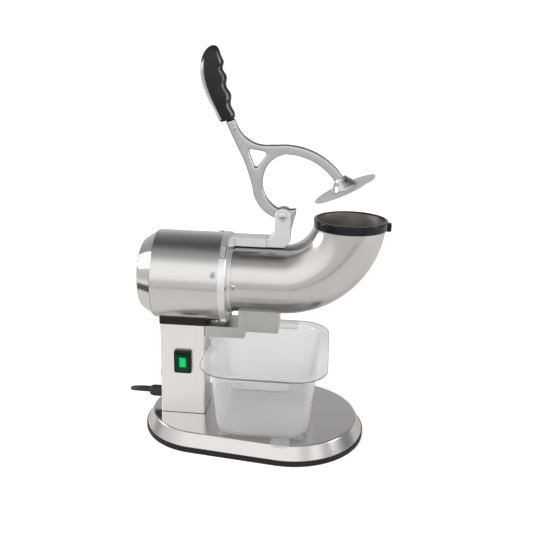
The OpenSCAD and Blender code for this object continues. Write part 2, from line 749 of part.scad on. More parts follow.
module switch_body() color(dark) difference() {
    translate([switch_x - 10.9, front_y, switch_z - 14.9]) cube([21.8, 22, 29.8]);
    translate([switch_x - 10.1, front_y - 1, switch_z - 14.1]) cube([20.2, 11, 28.2]);
}

rocker_tilt = 8;
axle_r = 1.1;

// Lens of the rocker, pressed at its lower end, with stub axles in the bezel's plane.
module switch_rocker() color([0.0, 0.62, 0.34]) translate([switch_x, rocker_y, switch_z])
    rotate([rocker_tilt, 0, 0]) rotate([0, 90, 0]) {
        linear_extrude(19.4, center = true)
            polygon([for (a = [-13 : 2 : 13]) [a, -3.4 - 2.6 * pow(a / 13, 2)],
                     [12.4, 3], [4, 7], [-4, 7], [-12.4, 3]]);
        cylinder(r = axle_r, h = 22, center = true);
    }

// ---------------------------------------------------------------- gland and wiring

gland_tip = -176.6;

module cable_gland() color(dark) translate([col_left, 0, gland_z]) rotate([0, -90, 0])
    difference() {
        union() {
            translate([0, 0, 0.05]) cylinder(r = 10.2, h = 5, $fn = 6);
            translate([0, 0, -9]) cylinder(r = 6, h = 16);
            translate([0, 0, -sheet - 4.1]) cylinder(r = 9.5, h = 4, $fn = 6);
        }
        translate([0, 0, -20]) cylinder(r = cord_d / 2 + 0.05, h = 60);
    }

// Domed cap nut that squeezes the seal on to the cord.
module gland_nut() color(dark) on_axis(0, gland_z) difference() {
    rotate_extrude() polygon([[cord_d / 2 + 0.05, gland_tip], [5.6, gland_tip], [7.8, gland_tip + 2],
        [8.8, gland_tip + 6], [8.8, col_left - 5.2], [cord_d / 2 + 0.05, col_left - 5.2]]);
    translate([0, 0, col_left - 8]) cylinder(r = 6.05, h = 9);
}

// Wire bundle from the gland to the switch and the motor, inside the column.
module wiring() color([0.2, 0.25, 0.5]) {
    translate([col_left + 2, 0, gland_z]) rotate([0, 90, 0]) cylinder(r = 2.6, h = 12);
    translate([col_left + 14, 0, gland_z]) sphere(2.6);
    translate([col_left + 14, 0, gland_z]) cylinder(r = 2.6, h = 94);
    translate([col_left + 14, 0, gland_z + 94]) sphere(2.6);
    translate([col_left + 14, 0, gland_z + 94]) rotate([0, 90, 0]) cylinder(r = 2.6, h = 20);
    translate([col_left + 34, 0, gland_z + 94]) sphere(2.6);
    translate([col_left + 34, 0, gland_z + 94]) cylinder(r = 2.6, h = 44);
    translate([col_left + 14, 0, switch_z]) rotate([0, 90, -45]) cylinder(r = 1.6, h = 12);
}

// ---------------------------------------------------------------- tub

tub_cx = tub_x + tub_l / 2;
tub_bottom = base_h + 3.2;
tab_w = 80;

// Rounded slab used to draw the tub's tapering body.
module tub_slab(z, w, d, r, h = 0.2) translate([tub_cx - 0.7, 0, z]) linear_extrude(h) hull()
    for (sx = [-1, 1], sy = [-1, 1])
        translate([sx * (w / 2 - r), sy * (d / 2 - r)]) circle(r, $fn = 48);

module tub_body(g, z0) hull() {
    tub_slab(z0, 118 - 2 * g, 170 - 2 * g, 26 - g);
    tub_slab(z0 + 4, 131 - 2 * g, 184 - 2 * g, 29 - g);
    tub_slab(z0 + 12, 136.5 - 2 * g, 190 - 2 * g, 31 - g);
    tub_slab(tub_top - 0.2, 155 - 2 * g, 208 - 2 * g, 38 - g);
}

// Clear tub: tapering body, flat rim, a hanging tab front and back, four feet, a pull tab.
module tub() color([0.9, 0.93, 0.95, 0.35]) {
    difference() {
        union() {
            tub_body(0, tub_bottom);
            translate([tub_cx, 0, tub_top - 2.2]) linear_extrude(2.2) round_rect(tub_l, tub_w, 47);
            for (s = [-1, 1]) translate([tub_cx, 0, tub_top - 16]) rotate([90, 0, 0])
                translate([0, 0, s * (tub_w / 2 - 1.1)]) linear_extrude(2.2, center = true) {
                    translate([-tab_w / 2, 8]) square([tab_w, 8]);
                    translate([-tab_w / 2 + 8, 0]) square([tab_w - 16, 15]);
                    for (sx = [-1, 1]) translate([sx * (tab_w / 2 - 8), 8]) circle(8);
                }
        }
        tub_body(tub_wall, tub_bottom + tub_wall);
        translate([tub_cx - 0.7, 0, tub_top - 0.3]) linear_extrude(2)
            round_rect(155 - 2 * tub_wall, 208 - 2 * tub_wall, 38 - tub_wall);
    }
    for (sx = [-1, 1], sy = [-1, 1])
        translate([tub_cx - 0.7 + sx * 54, sy * 80, base_h + 0.05])
            linear_extrude(3.4) round_rect(15, 9, 4);
    translate([tub_cx + 28, -90, tub_bottom]) linear_extrude(2) {
        round_rect(27, 46, 10);
    }
}

// ---------------------------------------------------------------- cord

coil_c = [-157.5, 180];
coil_r = 35;
// Three turns side by side, this far apart, in two layers.
coil_pitch = 6.75;
coil_w = 3 * coil_pitch;
coil_h = 2 * cord_d;
lead_route = [[-151, 0, 48.9], [-176.6, 0, 48.9], [-183.35, 0, 48.9], [-190.06, 0.64, 48.65],
    [-196.38, 2.77, 47.71], [-201.93, 6.22, 46.08], [-206.47, 10.67, 43.83], [-209.86, 15.89, 41.23],
    [-212.06, 21.7, 38.63], [-212.98, 27.86, 36.03], [-212.54, 34.06, 33.42], [-210.94, 40.08, 30.82],
    [-208.53, 45.82, 28.21], [-205.61, 51.33, 25.61], [-202.39, 56.66, 23], [-198.99, 61.88, 20.4],
    [-195.54, 67.07, 17.79], [-192.14, 72.3, 15.19], [-188.91, 77.63, 12.58], [-185.99, 83.13, 9.98],
    [-183.57, 88.9, 7.44], [-181.93, 95.12, 5.41], [-181.53, 101.7, 4.02], [-182.06, 108.39, 3.33],
    [-183.17, 115.03, 3.25], [-184.71, 121.58, 3.25], [-186.55, 128.03, 3.25], [-188.56, 134.42, 3.25],
    [-190.66, 140.78, 3.25], [-192.75, 147.14, 3.25], [-194.73, 153.55, 3.25], [-196.49, 160.02, 3.25],
    [-197.93, 166.59, 3.25], [-198.89, 173.26, 3.25], [-199.25, 180, 3.25]];
tail_route = [[-193.66, 200.88, 9.75], [-190.82, 206.3, 9.75], [-188.48, 211.54, 9.7],
    [-186.4, 216.62, 9.3], [-184.34, 221.52, 8.5], [-182.09, 226.29, 7.4], [-179.4, 230.94, 6.2],
    [-176.09, 235.49, 5.4], [-172, 240, 5.2], [-168.46, 243.54, 5.2]];

function ring_at(route, i) = let (n = len(route) - 1,
    t = route[min(i + 1, n)] - route[max(i - 1, 0)], d = t / norm(t),
    u0 = cross([0, 0, 1], d), u = u0 / norm(u0), v = cross(d, u))
    [for (k = [0 : 7]) route[i] + cord_d / 2 * (cos(45 * k) * u + sin(45 * k) * v)];

// Plain tube with eight sides along a route.
module cord_tube(route) {
    n = len(route);
    polyhedron(points = [for (i = [0 : n - 1]) each ring_at(route, i)],
        faces = concat([[for (k = [7 : -1 : 0]) k]],
            [for (i = [0 : n - 2], k = [0 : 7])
                [8 * i + k, 8 * i + (k + 1) % 8, 8 * i + 8 + (k + 1) % 8, 8 * i + 8 + k]],
            [[for (k = [0 : 7]) 8 * (n - 1) + k]]));
}

module cord_lead() color(dark) cord_tube(lead_route);
module cord_tail() color(dark) cord_tube(tail_route);

module cord_coil() color(dark) translate([coil_c[0], coil_c[1], 0]) rotate_extrude()
    translate([coil_r - coil_w / 2, 0]) square([coil_w, coil_h]);

// Hook-and-loop strap round the bundle.
module cord_tie() color([0.12, 0.12, 0.13]) translate([coil_c[0], coil_c[1], 0])
    rotate(-35) translate([coil_r, 0, 0]) rotate([90, 0, 0])
        linear_extrude(12, center = true) difference() {
            translate([-coil_w / 2 - 1.5, 0]) square([coil_w + 3, coil_h + 1.3]);
            translate([-coil_w / 2 - 0.3, 1.1]) square([coil_w + 0.6, coil_h - 1]);
        }

plug_at = [-172, 240, 0];
plug_turn = 45;

// Moulded plug lying flat behind the coil.
module plug() color(dark) translate(plug_at) rotate(plug_turn) difference() {
    union() {
        translate([0, 0, 5.2]) rotate([0, 90, 0]) cylinder(r1 = 3.9, r2 = 5, h = 16);
        translate([15.5, 0, 8.2]) rotate([0, 90, 0]) linear_extrude(22) round_rect(16, 21, 6);
        translate([37.4, 0, 9]) rotate([0, 90, 0]) linear_extrude(5) round_rect(17.8, 27, 7);
    }
    translate([-1, 0, 5.2]) rotate([0, 90, 0]) cylinder(r = cord_d / 2 + 0.05, h = 6.5);
    translate([30, 6.2, 5]) rotate([0, 90, 0]) cylinder(r = 2.35, h = 20);
}

module plug_pins() color("silver") translate(plug_at) rotate(plug_turn)
    for (s = [-1, 1]) translate([42.45, s * 6.35, 9]) rotate([0, 90, 0])
        linear_extrude(17) round_rect(1.5, 6.3, 0.7);

base_pan();
base_edge();
bottom_plate();
base_standoffs();
base_screws();
column();
column_plate();
column_bolts();
saddle_gasket();
support_arm();
motor_shell();
motor_end_cap();
end_bell();
stator_core();
stator_windings();
front_bearing();
rear_bearing();
shaft_seal();
shell_screws();
capacitor();
motor_shaft();
rotor_core();
cooling_fan();
blade_disc();
blades();
blade_screws();
disc_nut();
snow_paddle();
head_casting();
head_screws();
clevis();
feed_tube();
tube_screws();
mouth_collar();
collar_screw();
chute();
lever();
grip();
grip_screw();
pivot_bush();
pivot_pin();
pivot_nut();
pivot_washers();
plunger_hub();
plunger_disc();
plunger_screw();
switch_bezel();
switch_body();
switch_rocker();
cable_gland();
gland_nut();
wiring();
tub();
cord_lead();
cord_coil();
cord_tie();
cord_tail();
plug();
plug_pins();
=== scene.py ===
import json
import math

import bmesh
import bpy
from mathutils import Matrix, Vector


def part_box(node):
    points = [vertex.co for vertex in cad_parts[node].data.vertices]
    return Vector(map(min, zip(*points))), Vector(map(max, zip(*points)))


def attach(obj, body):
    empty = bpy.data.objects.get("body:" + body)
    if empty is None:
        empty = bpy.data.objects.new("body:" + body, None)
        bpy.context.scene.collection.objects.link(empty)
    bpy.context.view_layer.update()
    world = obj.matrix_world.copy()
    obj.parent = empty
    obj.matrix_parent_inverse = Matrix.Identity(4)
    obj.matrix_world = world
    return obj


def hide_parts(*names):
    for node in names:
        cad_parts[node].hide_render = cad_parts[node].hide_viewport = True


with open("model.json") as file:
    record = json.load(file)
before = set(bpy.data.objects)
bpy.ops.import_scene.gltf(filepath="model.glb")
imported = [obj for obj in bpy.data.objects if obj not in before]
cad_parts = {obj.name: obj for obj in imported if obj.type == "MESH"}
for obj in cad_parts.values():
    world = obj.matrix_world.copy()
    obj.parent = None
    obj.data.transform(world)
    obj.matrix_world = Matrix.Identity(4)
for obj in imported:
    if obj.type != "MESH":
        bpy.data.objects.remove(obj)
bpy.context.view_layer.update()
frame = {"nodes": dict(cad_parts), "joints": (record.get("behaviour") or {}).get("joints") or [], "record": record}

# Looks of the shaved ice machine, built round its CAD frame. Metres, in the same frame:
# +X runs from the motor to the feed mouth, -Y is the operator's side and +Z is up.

NODES = frame["nodes"]
JOINTS = {joint["name"]: joint for joint in frame["joints"]}
PIVOT = Vector(JOINTS["lever_pivot"]["pos_m"])
AXIS_Z = JOINTS["blade_spin"]["pos_m"][2]
ROCKER = Vector(JOINTS["rocker_tilt"]["pos_m"])
MM = 0.001


# ---------------------------------------------------------------- camera

def add_camera():
    """The photograph's viewing angle: in front of the operator's side, a little above."""
    yaw, pitch, roll = (math.radians(a) for a in (5.10, 17.06, 1.36))
    back = Vector((math.sin(yaw) * math.cos(pitch), -math.cos(yaw) * math.cos(pitch), math.sin(pitch)))
    level = Vector((math.cos(yaw), math.sin(yaw), 0))
    upright = back.cross(level)
    right = level * math.cos(roll) + upright * math.sin(roll)
    up = upright * math.cos(roll) - level * math.sin(roll)
    data = bpy.data.cameras.new("camera")
    data.lens = 47.64
    data.sensor_width = 36
    camera = bpy.data.objects.new("camera", data)
    camera.matrix_world = Matrix.Translation((0.09139, -0.98894, 0.56685)) @ Matrix(
        (right, up, back)).transposed().to_4x4()
    bpy.context.collection.objects.link(camera)
    bpy.context.scene.camera = camera


add_camera()


# ---------------------------------------------------------------- shaders

def shader(name, colour, metallic=0.0, roughness=0.5, **sockets):
    """A Principled material. Extra sockets are given by name, with _ for a space."""
    material = bpy.data.materials.new(name)
    material.use_nodes = True
    surface = material.node_tree.nodes["Principled BSDF"]
    surface.inputs["Base Color"].default_value = (*colour, 1)
    surface.inputs["Metallic"].default_value = metallic
    surface.inputs["Roughness"].default_value = roughness
    for key, value in sockets.items():
        surface.inputs[key.replace("_", " ")].default_value = value
    return material


def add_node(material, kind, **values):
    """Adds a node; values are set on its sockets by name, or on the node itself."""
    node = material.node_tree.nodes.new(kind)
    for key, value in values.items():
        socket = node.inputs.get(key.replace("_", " "))
        if socket is not None:
            socket.default_value = value
        else:
            setattr(node, key, value)
    return node


def noise(material, scale, stretch=(1, 1, 1), detail=4.0):
    """A noise value over the part's own coordinates, scale features a metre."""
    links = material.node_tree.links
    place = add_node(material, "ShaderNodeTexCoord")
    mapping = add_node(material, "ShaderNodeMapping", Scale=stretch)
    texture = add_node(material, "ShaderNodeTexNoise", Scale=scale, Detail=detail)
    links.new(place.outputs["Object"], mapping.inputs["Vector"])
    links.new(mapping.outputs["Vector"], texture.inputs["Vector"])
    return texture.outputs["Fac"]


def remap(material, value, low, high, start=0.3, end=0.7):
    node = add_node(material, "ShaderNodeMapRange", From_Min=start, From_Max=end, To_Min=low, To_Max=high)
    material.node_tree.links.new(value, node.inputs["Value"])
    return node.outputs["Result"]


def tint(material, value, dark, light):
    """Colour that runs from dark to light with a value."""
    mix = add_node(material, "ShaderNodeMix", data_type="RGBA")
    mix.inputs[6].default_value = (*dark, 1)
    mix.inputs[7].default_value = (*light, 1)
    material.node_tree.links.new(value, mix.inputs[0])
    material.node_tree.links.new(mix.outputs[2], surface_of(material).inputs["Base Color"])


def surface_of(material):
    return material.node_tree.nodes["Principled BSDF"]


def drive(material, socket, value):
    material.node_tree.links.new(value, surface_of(material).inputs[socket])


def relief(material, height, depth):
    """Bump from a height value; depth is the relief in metres."""
    bump = add_node(material, "ShaderNodeBump", Strength=1.0, Distance=depth)
    material.node_tree.links.new(height, bump.inputs["Height"])
    drive(material, "Normal", bump.outputs["Normal"])


def brushed(name, colour, stretch, roughness=0.26):
    """Stainless steel with fine brush lines; stretch is small along the lines."""
    material = shader(name, colour, 1.0, roughness)
    lines = noise(material, 1.0, stretch, 3.0)
    cloud = noise(material, 18.0, detail=3.0)
    both = add_node(material, "ShaderNodeMath", operation="ADD")
    material.node_tree.links.new(remap(material, lines, 0, 0.75), both.inputs[0])
    material.node_tree.links.new(remap(material, cloud, 0, 0.25), both.inputs[1])
    drive(material, "Roughness", remap(material, lines, roughness - 0.03, roughness + 0.05))
    tint(material, both.outputs[0], [c * 0.93 for c in colour], colour)
    relief(material, lines, 1e-6)
    return material


def polished(name, colour, roughness=0.12):
    material = shader(name, colour, 1.0, roughness)
    smear = noise(material, 160.0, detail=5.0)
    drive(material, "Roughness", remap(material, smear, roughness * 0.7, roughness * 1.5))
    return material


def recess_shaded(name, colour, roughness=0.16):
    """Bright screw heads, with painted shade in the cross recess and round the rim."""
    material = polished(name, colour, roughness)
    shade = add_node(material, "ShaderNodeAmbientOcclusion", Distance=1.6 * MM, samples=8)
    # Painted shade: ambient occlusion darkens the colour towards near black in the recesses.
    tint(material, remap(material, shade.outputs["AO"], 0, 1, 0.45, 0.92), (0.03, 0.03, 0.03), colour)
    return material


def cast(name, colour, roughness=0.38, grain=900.0, depth=2.5e-5, metallic=1.0):
    """Cast and tumbled metal with a fine orange-peel skin."""
    material = shader(name, colour, metallic, roughness)
    skin = noise(material, grain, detail=3.0)
    cloud = noise(material, 45.0, detail=4.0)
    drive(material, "Roughness", remap(material, cloud, roughness - 0.03, roughness + 0.04))
    tint(material, remap(material, cloud, 0, 1), [c * 0.94 for c in colour], colour)
    relief(material, skin, depth)
    return material


def shade_top(material, dark):
    """Paints shade on the skin where it faces up: upward faces are darkened towards the given colour."""
    links = material.node_tree.links
    place = add_node(material, "ShaderNodeTexCoord")
    parts = add_node(material, "ShaderNodeSeparateXYZ")
    links.new(place.outputs["Normal"], parts.inputs[0])
    mix = add_node(material, "ShaderNodeMix", data_type="RGBA")
    base = surface_of(material).inputs["Base Color"]
    links.new(remap(material, parts.outputs["Z"], 0, 1, 0.25, 0.8), mix.inputs[0])
    links.new(base.links[0].from_socket, mix.inputs[6])
    mix.inputs[7].default_value = (*dark, 1)
    links.new(mix.outputs[2], base)


def moulded(name, colour, roughness=0.35, grain=1400.0, depth=8e-6):
    """Moulded plastic or rubber with a fine spark-eroded grain."""
    material = shader(name, colour, 0.0, roughness, Specular_IOR_Level=0.3)
    skin = noise(material, grain, detail=2.0)
    cloud = noise(material, 70.0, detail=3.0)
    drive(material, "Roughness", remap(material, cloud, roughness * 0.85, roughness * 1.2))
    tint(material, remap(material, cloud, 0, 1), [c * 0.85 for c in colour], colour)
    relief(material, skin, depth)
    return material


def clear_plastic(name, tint_straight, tint_grazing, veil):
    """Clear polycarbonate: a faint tint, and a veil of its own gloss that grows at grazing angles."""
    material = shader(name, (0.94, 0.945, 0.945), 0.35, 0.06)
    links = material.node_tree.links
    facing = add_node(material, "ShaderNodeLayerWeight", Blend=0.5).outputs["Facing"]
    clear = add_node(material, "ShaderNodeBsdfTransparent")
    shade = add_node(material, "ShaderNodeMix", data_type="RGBA")
    shade.inputs[6].default_value = (*tint_straight, 1)
    shade.inputs[7].default_value = (*tint_grazing, 1)
    links.new(facing, shade.inputs[0])
    links.new(shade.outputs[2], clear.inputs["Color"])
    steep = add_node(material, "ShaderNodeMath", operation="POWER")
    steep.inputs[1].default_value = 4
    links.new(facing, steep.inputs[0])
    mix = add_node(material, "ShaderNodeMixShader")
    links.new(remap(material, steep.outputs[0], veil, 0.9, 0, 1), mix.inputs[0])
    links.new(clear.outputs[0], mix.inputs[1])
    links.new(surface_of(material).outputs[0], mix.inputs[2])
    links.new(mix.outputs[0], material.node_tree.nodes["Material Output"].inputs["Surface"])
    scuffs = noise(material, 60.0, detail=5.0)
    drive(material, "Roughness", remap(material, scuffs, 0.03, 0.12))
    return material


def lit_lens():
    """Green rocker lens, brightest over the neon lamp behind its middle."""
    material = shader("green_lens", (0.0, 0.05, 0.025), 0.0, 0.22, Specular_IOR_Level=0.12)
    links = material.node_tree.links
    place = add_node(material, "ShaderNodeTexCoord")
    shift = add_node(material, "ShaderNodeVectorMath", operation="SUBTRACT")
    shift.inputs[1].default_value = ROCKER
    parts = add_node(material, "ShaderNodeSeparateXYZ")
    links.new(place.outputs["Object"], shift.inputs[0])
    links.new(shift.outputs[0], parts.inputs[0])
    window = []
    soft_in, soft_out = 1.2 * MM, 0.6 * MM
    for axis, half in (("X", 5.0 * MM), ("Z", 8.4 * MM)):
        size = add_node(material, "ShaderNodeMath", operation="ABSOLUTE")
        links.new(parts.outputs[axis], size.inputs[0])
        window.append(remap(material, size.outputs[0], 1, 0, half - soft_in, half + soft_out))
    both = add_node(material, "ShaderNodeMath", operation="MULTIPLY")
    links.new(window[0], both.inputs[0])
    links.new(window[1], both.inputs[1])
    glow = add_node(material, "ShaderNodeMix", data_type="RGBA")
    glow.inputs[6].default_value = (0.0, 0.03, 0.014, 1)
    glow.inputs[7].default_value = (0.0, 0.46, 0.10, 1)
    links.new(both.outputs[0], glow.inputs[0])
    drive(material, "Base Color", glow.outputs[2])
    drive(material, "Emission Color", glow.outputs[2])
    surface_of(material).inputs["Emission Strength"].default_value = 0.3
    return material


def wound_copper():
    material = shader("copper_wire", (0.62, 0.26, 0.12), 1.0, 0.34)
    place = add_node(material, "ShaderNodeTexCoord")
    wires = add_node(material, "ShaderNodeTexWave", Scale=330.0, Distortion=2.0, Detail=2.0)
    material.node_tree.links.new(place.outputs["Object"], wires.inputs["Vector"])
    relief(material, wires.outputs["Fac"], 2.5e-4)
    tint(material, wires.outputs["Fac"], (0.30, 0.10, 0.05), (0.72, 0.33, 0.16))
    return material


def stacked_sheets():
    """Varnished laminations: fine steps along the motor axis."""
    material = shader("laminations", (0.20, 0.205, 0.215), 0.9, 0.42)
    layers = noise(material, 1.0, (2000, 30, 30), 2.0)
    tint(material, remap(material, layers, 0, 1), (0.11, 0.11, 0.12), (0.28, 0.285, 0.30))
    relief(material, layers, 1.2e-4)
    return material


STEEL = (0.66, 0.645, 0.63)
CAN_STEEL = brushed("can_steel", STEEL, (2600, 60, 60), 0.20)
TUBE_STEEL = brushed("tube_steel", (0.62, 0.60, 0.58), (60, 60, 60), 0.19)
# A lighter, rougher copy of the tube steel for the bore: the lighter colour is painted light inside the tube.
LIGHTENED_BORE_STEEL = brushed("tube_inside_steel_lightened", (0.66, 0.63, 0.60), (60, 60, 60), 0.34)
UPRIGHT_STEEL = brushed("column_steel", (0.90, 0.88, 0.865), (1900, 1900, 30), 0.30)
CHUTE_STEEL = brushed("chute_steel", (0.54, 0.53, 0.52), (1900, 1900, 30), 0.30)
BASE_STEEL = brushed("base_steel", (0.64, 0.62, 0.61), (24, 2100, 2100), 0.17)
ROUND_STEEL = brushed("spun_steel", (0.64, 0.63, 0.62), (3200, 220, 220), 0.20)
CONE_STEEL = brushed("cone_steel", (0.66, 0.65, 0.635), (3200, 60, 60), 0.12)
MIRROR_STEEL = polished("polished_steel", (0.70, 0.695, 0.69), 0.10)
SCREW_STEEL = recess_shaded("screw_steel", (0.62, 0.62, 0.63), 0.14)
SHAFT_STEEL = brushed("shaft_steel", (0.58, 0.58, 0.59), (2400, 300, 300), 0.22)
BLADE_STEEL = brushed("blade_steel", (0.72, 0.73, 0.75), (60, 2600, 2600), 0.14)
DISC_STEEL = cast("disc_steel", (0.50, 0.495, 0.48), 0.42, metallic=0.5)
HEAD_CAST = cast("head_casting_skin", (0.74, 0.75, 0.76), 0.32, metallic=0.82)
LEVER_CAST = cast("lever_casting_skin", (0.52, 0.53, 0.54), 0.27, 700.0, 6e-6, 0.94)
# Painted shade on the lever: its upward faces are darkened towards this colour.
shade_top(LEVER_CAST, (0.16, 0.162, 0.165))
BELL_CAST = polished("buffed_aluminium", (0.64, 0.65, 0.66), 0.16)
BRONZE = cast("sintered_bronze", (0.55, 0.36, 0.14), 0.42, 2600.0)
CAN_ALUMINIUM = brushed("drawn_aluminium", (0.72, 0.73, 0.75), (300, 300, 1500), 0.30)
GLOSS_BLACK = moulded("gloss_black", (0.004, 0.005, 0.006), 0.13, 500.0, 1e-6)
RUBBER = moulded("black_rubber", (0.007, 0.007, 0.0075), 0.50, 1700.0, 1e-5)
NYLON_BLACK = moulded("black_nylon", (0.020, 0.020, 0.022), 0.38)
NYLON_WHITE = moulded("white_nylon", (0.74, 0.73, 0.70), 0.42)
PVC = moulded("cord_pvc", (0.016, 0.016, 0.017), 0.40, 900.0)
WIRE = moulded("wire_sleeve", (0.05, 0.07, 0.24), 0.45)
STRAP = moulded("strap_weave", (0.02, 0.02, 0.022), 0.75, 2600.0, 1.5e-4)
CLEAR = clear_plastic("clear_plastic", (0.955, 0.958, 0.958), (0.90, 0.905, 0.905), 0.15)
# A dark-tinted copy of the clear plastic: a painted dark line on the tub's rim and tab edges.
CLEAR_EDGE_SHADE = clear_plastic("clear_plastic_edge_shade", (0.30, 0.31, 0.31), (0.26, 0.27, 0.27), 0.05)
GREEN = lit_lens()
COPPER = wound_copper()
SHEETS = stacked_sheets()

# Finish of every CAD node; the ones that a finer piece stands for keep it too.
FINISH = {
    "base_pan": BASE_STEEL, "base_edge": RUBBER, "bottom_plate": BASE_STEEL,
    "base_standoffs": SHAFT_STEEL, "base_screws": SCREW_STEEL, "column": UPRIGHT_STEEL,
    "column_plate": UPRIGHT_STEEL, "column_bolts": SCREW_STEEL, "saddle_gasket": RUBBER,
    "support_arm": CHUTE_STEEL, "motor_shell": CAN_STEEL, "motor_end_cap": ROUND_STEEL,
    "end_bell": HEAD_CAST, "stator_core": SHEETS, "stator_windings": COPPER,
    "front_bearing": MIRROR_STEEL, "rear_bearing": MIRROR_STEEL, "shaft_seal": RUBBER,
    "shell_screws": SCREW_STEEL, "capacitor": CAN_ALUMINIUM, "motor_shaft": SHAFT_STEEL,
    "rotor_core": SHEETS, "cooling_fan": NYLON_BLACK, "blade_disc": DISC_STEEL,
    "blades": BLADE_STEEL, "blade_screws": SCREW_STEEL, "disc_nut": SCREW_STEEL,
    "snow_paddle": DISC_STEEL, "head_casting": HEAD_CAST, "head_screws": SCREW_STEEL,
    "clevis": HEAD_CAST, "feed_tube": TUBE_STEEL, "tube_screws": SCREW_STEEL,
    "mouth_collar": GLOSS_BLACK, "collar_screw": SCREW_STEEL, "chute": CHUTE_STEEL,
    "lever": LEVER_CAST, "grip": GLOSS_BLACK, "grip_screw": SCREW_STEEL,
    "pivot_bush": BRONZE, "pivot_pin": SCREW_STEEL, "pivot_nut": SCREW_STEEL,
    "pivot_washers": NYLON_WHITE, "plunger_hub": BELL_CAST, "plunger_disc": DISC_STEEL,
    "plunger_screw": SCREW_STEEL, "switch_bezel": GLOSS_BLACK, "switch_body": NYLON_BLACK,
    "switch_rocker": GREEN, "cable_gland": NYLON_BLACK, "gland_nut": NYLON_BLACK,
    "wiring": WIRE, "tub": CLEAR, "cord_lead": PVC, "cord_coil": PVC, "cord_tie": STRAP,
    "cord_tail": PVC, "plug": NYLON_BLACK, "plug_pins": SCREW_STEEL,
}
for node_name, finish in FINISH.items():
    NODES[node_name].data.materials.clear()
    NODES[node_name].data.materials.append(finish)


# ---------------------------------------------------------------- mesh helpers

def body_of(node):
    for body, members in frame["record"]["behaviour"]["bodies"].items():
        if node in members:
            return body


def add_piece(name, bm, nodes, material=None, angle=32, weighted=True, second=None):
    """Turns a bmesh into a smooth-shaded piece that stands for these CAD nodes."""
    mesh = bpy.data.meshes.new(name)
    bmesh.ops.recalc_face_normals(bm, faces=bm.faces)
    bm.to_mesh(mesh)
    bm.free()
    for polygon in mesh.polygons:
        polygon.use_smooth = True
    mesh.set_sharp_from_angle(angle=math.radians(angle))
    mesh.materials.append(material or FINISH[nodes[0]])
    if second:
        mesh.materials.append(second)
    piece = bpy.data.objects.new(name, mesh)
    bpy.context.collection.objects.link(piece)
    if weighted:
        normals = piece.modifiers.new("normals", "WEIGHTED_NORMAL")
        normals.keep_sharp = True
        normals.weight = 90
    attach(piece, body_of(nodes[0]))
    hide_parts(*nodes)
    return piece


def loft(bm, rings, loop=False):
    """Skins closed rings of equal length, and caps both ends or joins the last to the first."""
    rows = [[bm.verts.new(point) for point in ring] for ring in rings]
    pairs = list(zip(rows, rows[1:]))
    if loop:
        pairs.append((rows[-1], rows[0]))
    count = len(rows[0])
    for low, high in pairs:
        for i in range(count):
            j = (i + 1) % count
            bm.faces.new((low[i], low[j], high[j], high[i]))
    if not loop:
        bm.faces.new(rows[0])
        bm.faces.new(rows[-1])


def fillet(points, radius, steps=5, closed=True):
    """A 2-D outline with its corners rounded; radius is one value or one for each corner."""
    radii = radius if isinstance(radius, (list, tuple)) else [radius] * len(points)
    outline, count = [], len(points)
    for i, corner in enumerate(points):
        corner = Vector(corner)
        if radii[i] == 0 or (not closed and i in (0, count - 1)):
            outline.append(corner)
            continue
        to_last = Vector(points[i - 1]) - corner
        to_next = Vector(points[(i + 1) % count]) - corner
        run = radii[i] / math.tan(to_last.angle(to_next) / 2)
        run = min(run, 0.48 * to_last.length, 0.48 * to_next.length)
        start, end = corner + to_last.normalized() * run, corner + to_next.normalized() * run
        for k in range(steps + 1):
            t = k / steps
            outline.append(start * (1 - t) ** 2 + corner * 2 * t * (1 - t) + end * t * t)
    return outline


def arc(centre, radius, start, end, steps):
    """Points on an arc, in degrees."""
    angles = [math.radians(start + (end - start) * k / steps) for k in range(steps + 1)]
    return [Vector((centre[0] + radius * math.cos(a), centre[1] + radius * math.sin(a))) for a in angles]


def circle(place, along, radius, steps):
    """A circle of points round the axis that place puts in the frame."""
    return [place @ Vector((radius * math.cos(2 * math.pi * k / steps),
                            radius * math.sin(2 * math.pi * k / steps), along))
            for k in range(steps)]


def lathe(bm, profile, place, steps):
    """Turns a closed profile of (along, radius) points round an axis."""
    loft(bm, [circle(place, along, radius, steps) for along, radius in profile], loop=True)


def along_x(x=0.0):
    """Puts a piece's own z along +X, on the motor's axis."""
    return Matrix.Translation((x, 0, AXIS_Z)) @ Matrix.Rotation(math.pi / 2, 4, "Y")


def rounded_box(bm, low, high, radius, segments=3):
    low, high = Vector(low), Vector(high)
    place = Matrix.Translation((low + high) / 2) @ Matrix.Diagonal((*(high - low), 1))
    made = bmesh.ops.create_cube(bm, size=1, matrix=place)
    edges = list({edge for vert in made["verts"] for edge in vert.link_edges})
    bmesh.ops.bevel(bm, geom=edges, offset=radius, segments=segments, profile=0.5, affect="EDGES",
                    clamp_overlap=True)


SHARP = math.radians(28)


def softened(node, width, segments=2, name=None):
    """A copy of a CAD node with its sharp edges rounded off."""
    bm = bmesh.new()
    bm.from_mesh(NODES[node].data)
    bmesh.ops.remove_doubles(bm, verts=bm.verts, dist=1e-6)
    bmesh.ops.dissolve_limit(bm, angle_limit=math.radians(0.6), verts=bm.verts, edges=bm.edges)
    sharp = [edge for edge in bm.edges
             if len(edge.link_faces) == 2 and edge.calc_face_angle(0) > SHARP]
    bmesh.ops.bevel(bm, geom=sharp, offset=width, segments=segments, profile=0.5, affect="EDGES",
                    clamp_overlap=True)
    add_piece(name or node + "_finished", bm, [node])


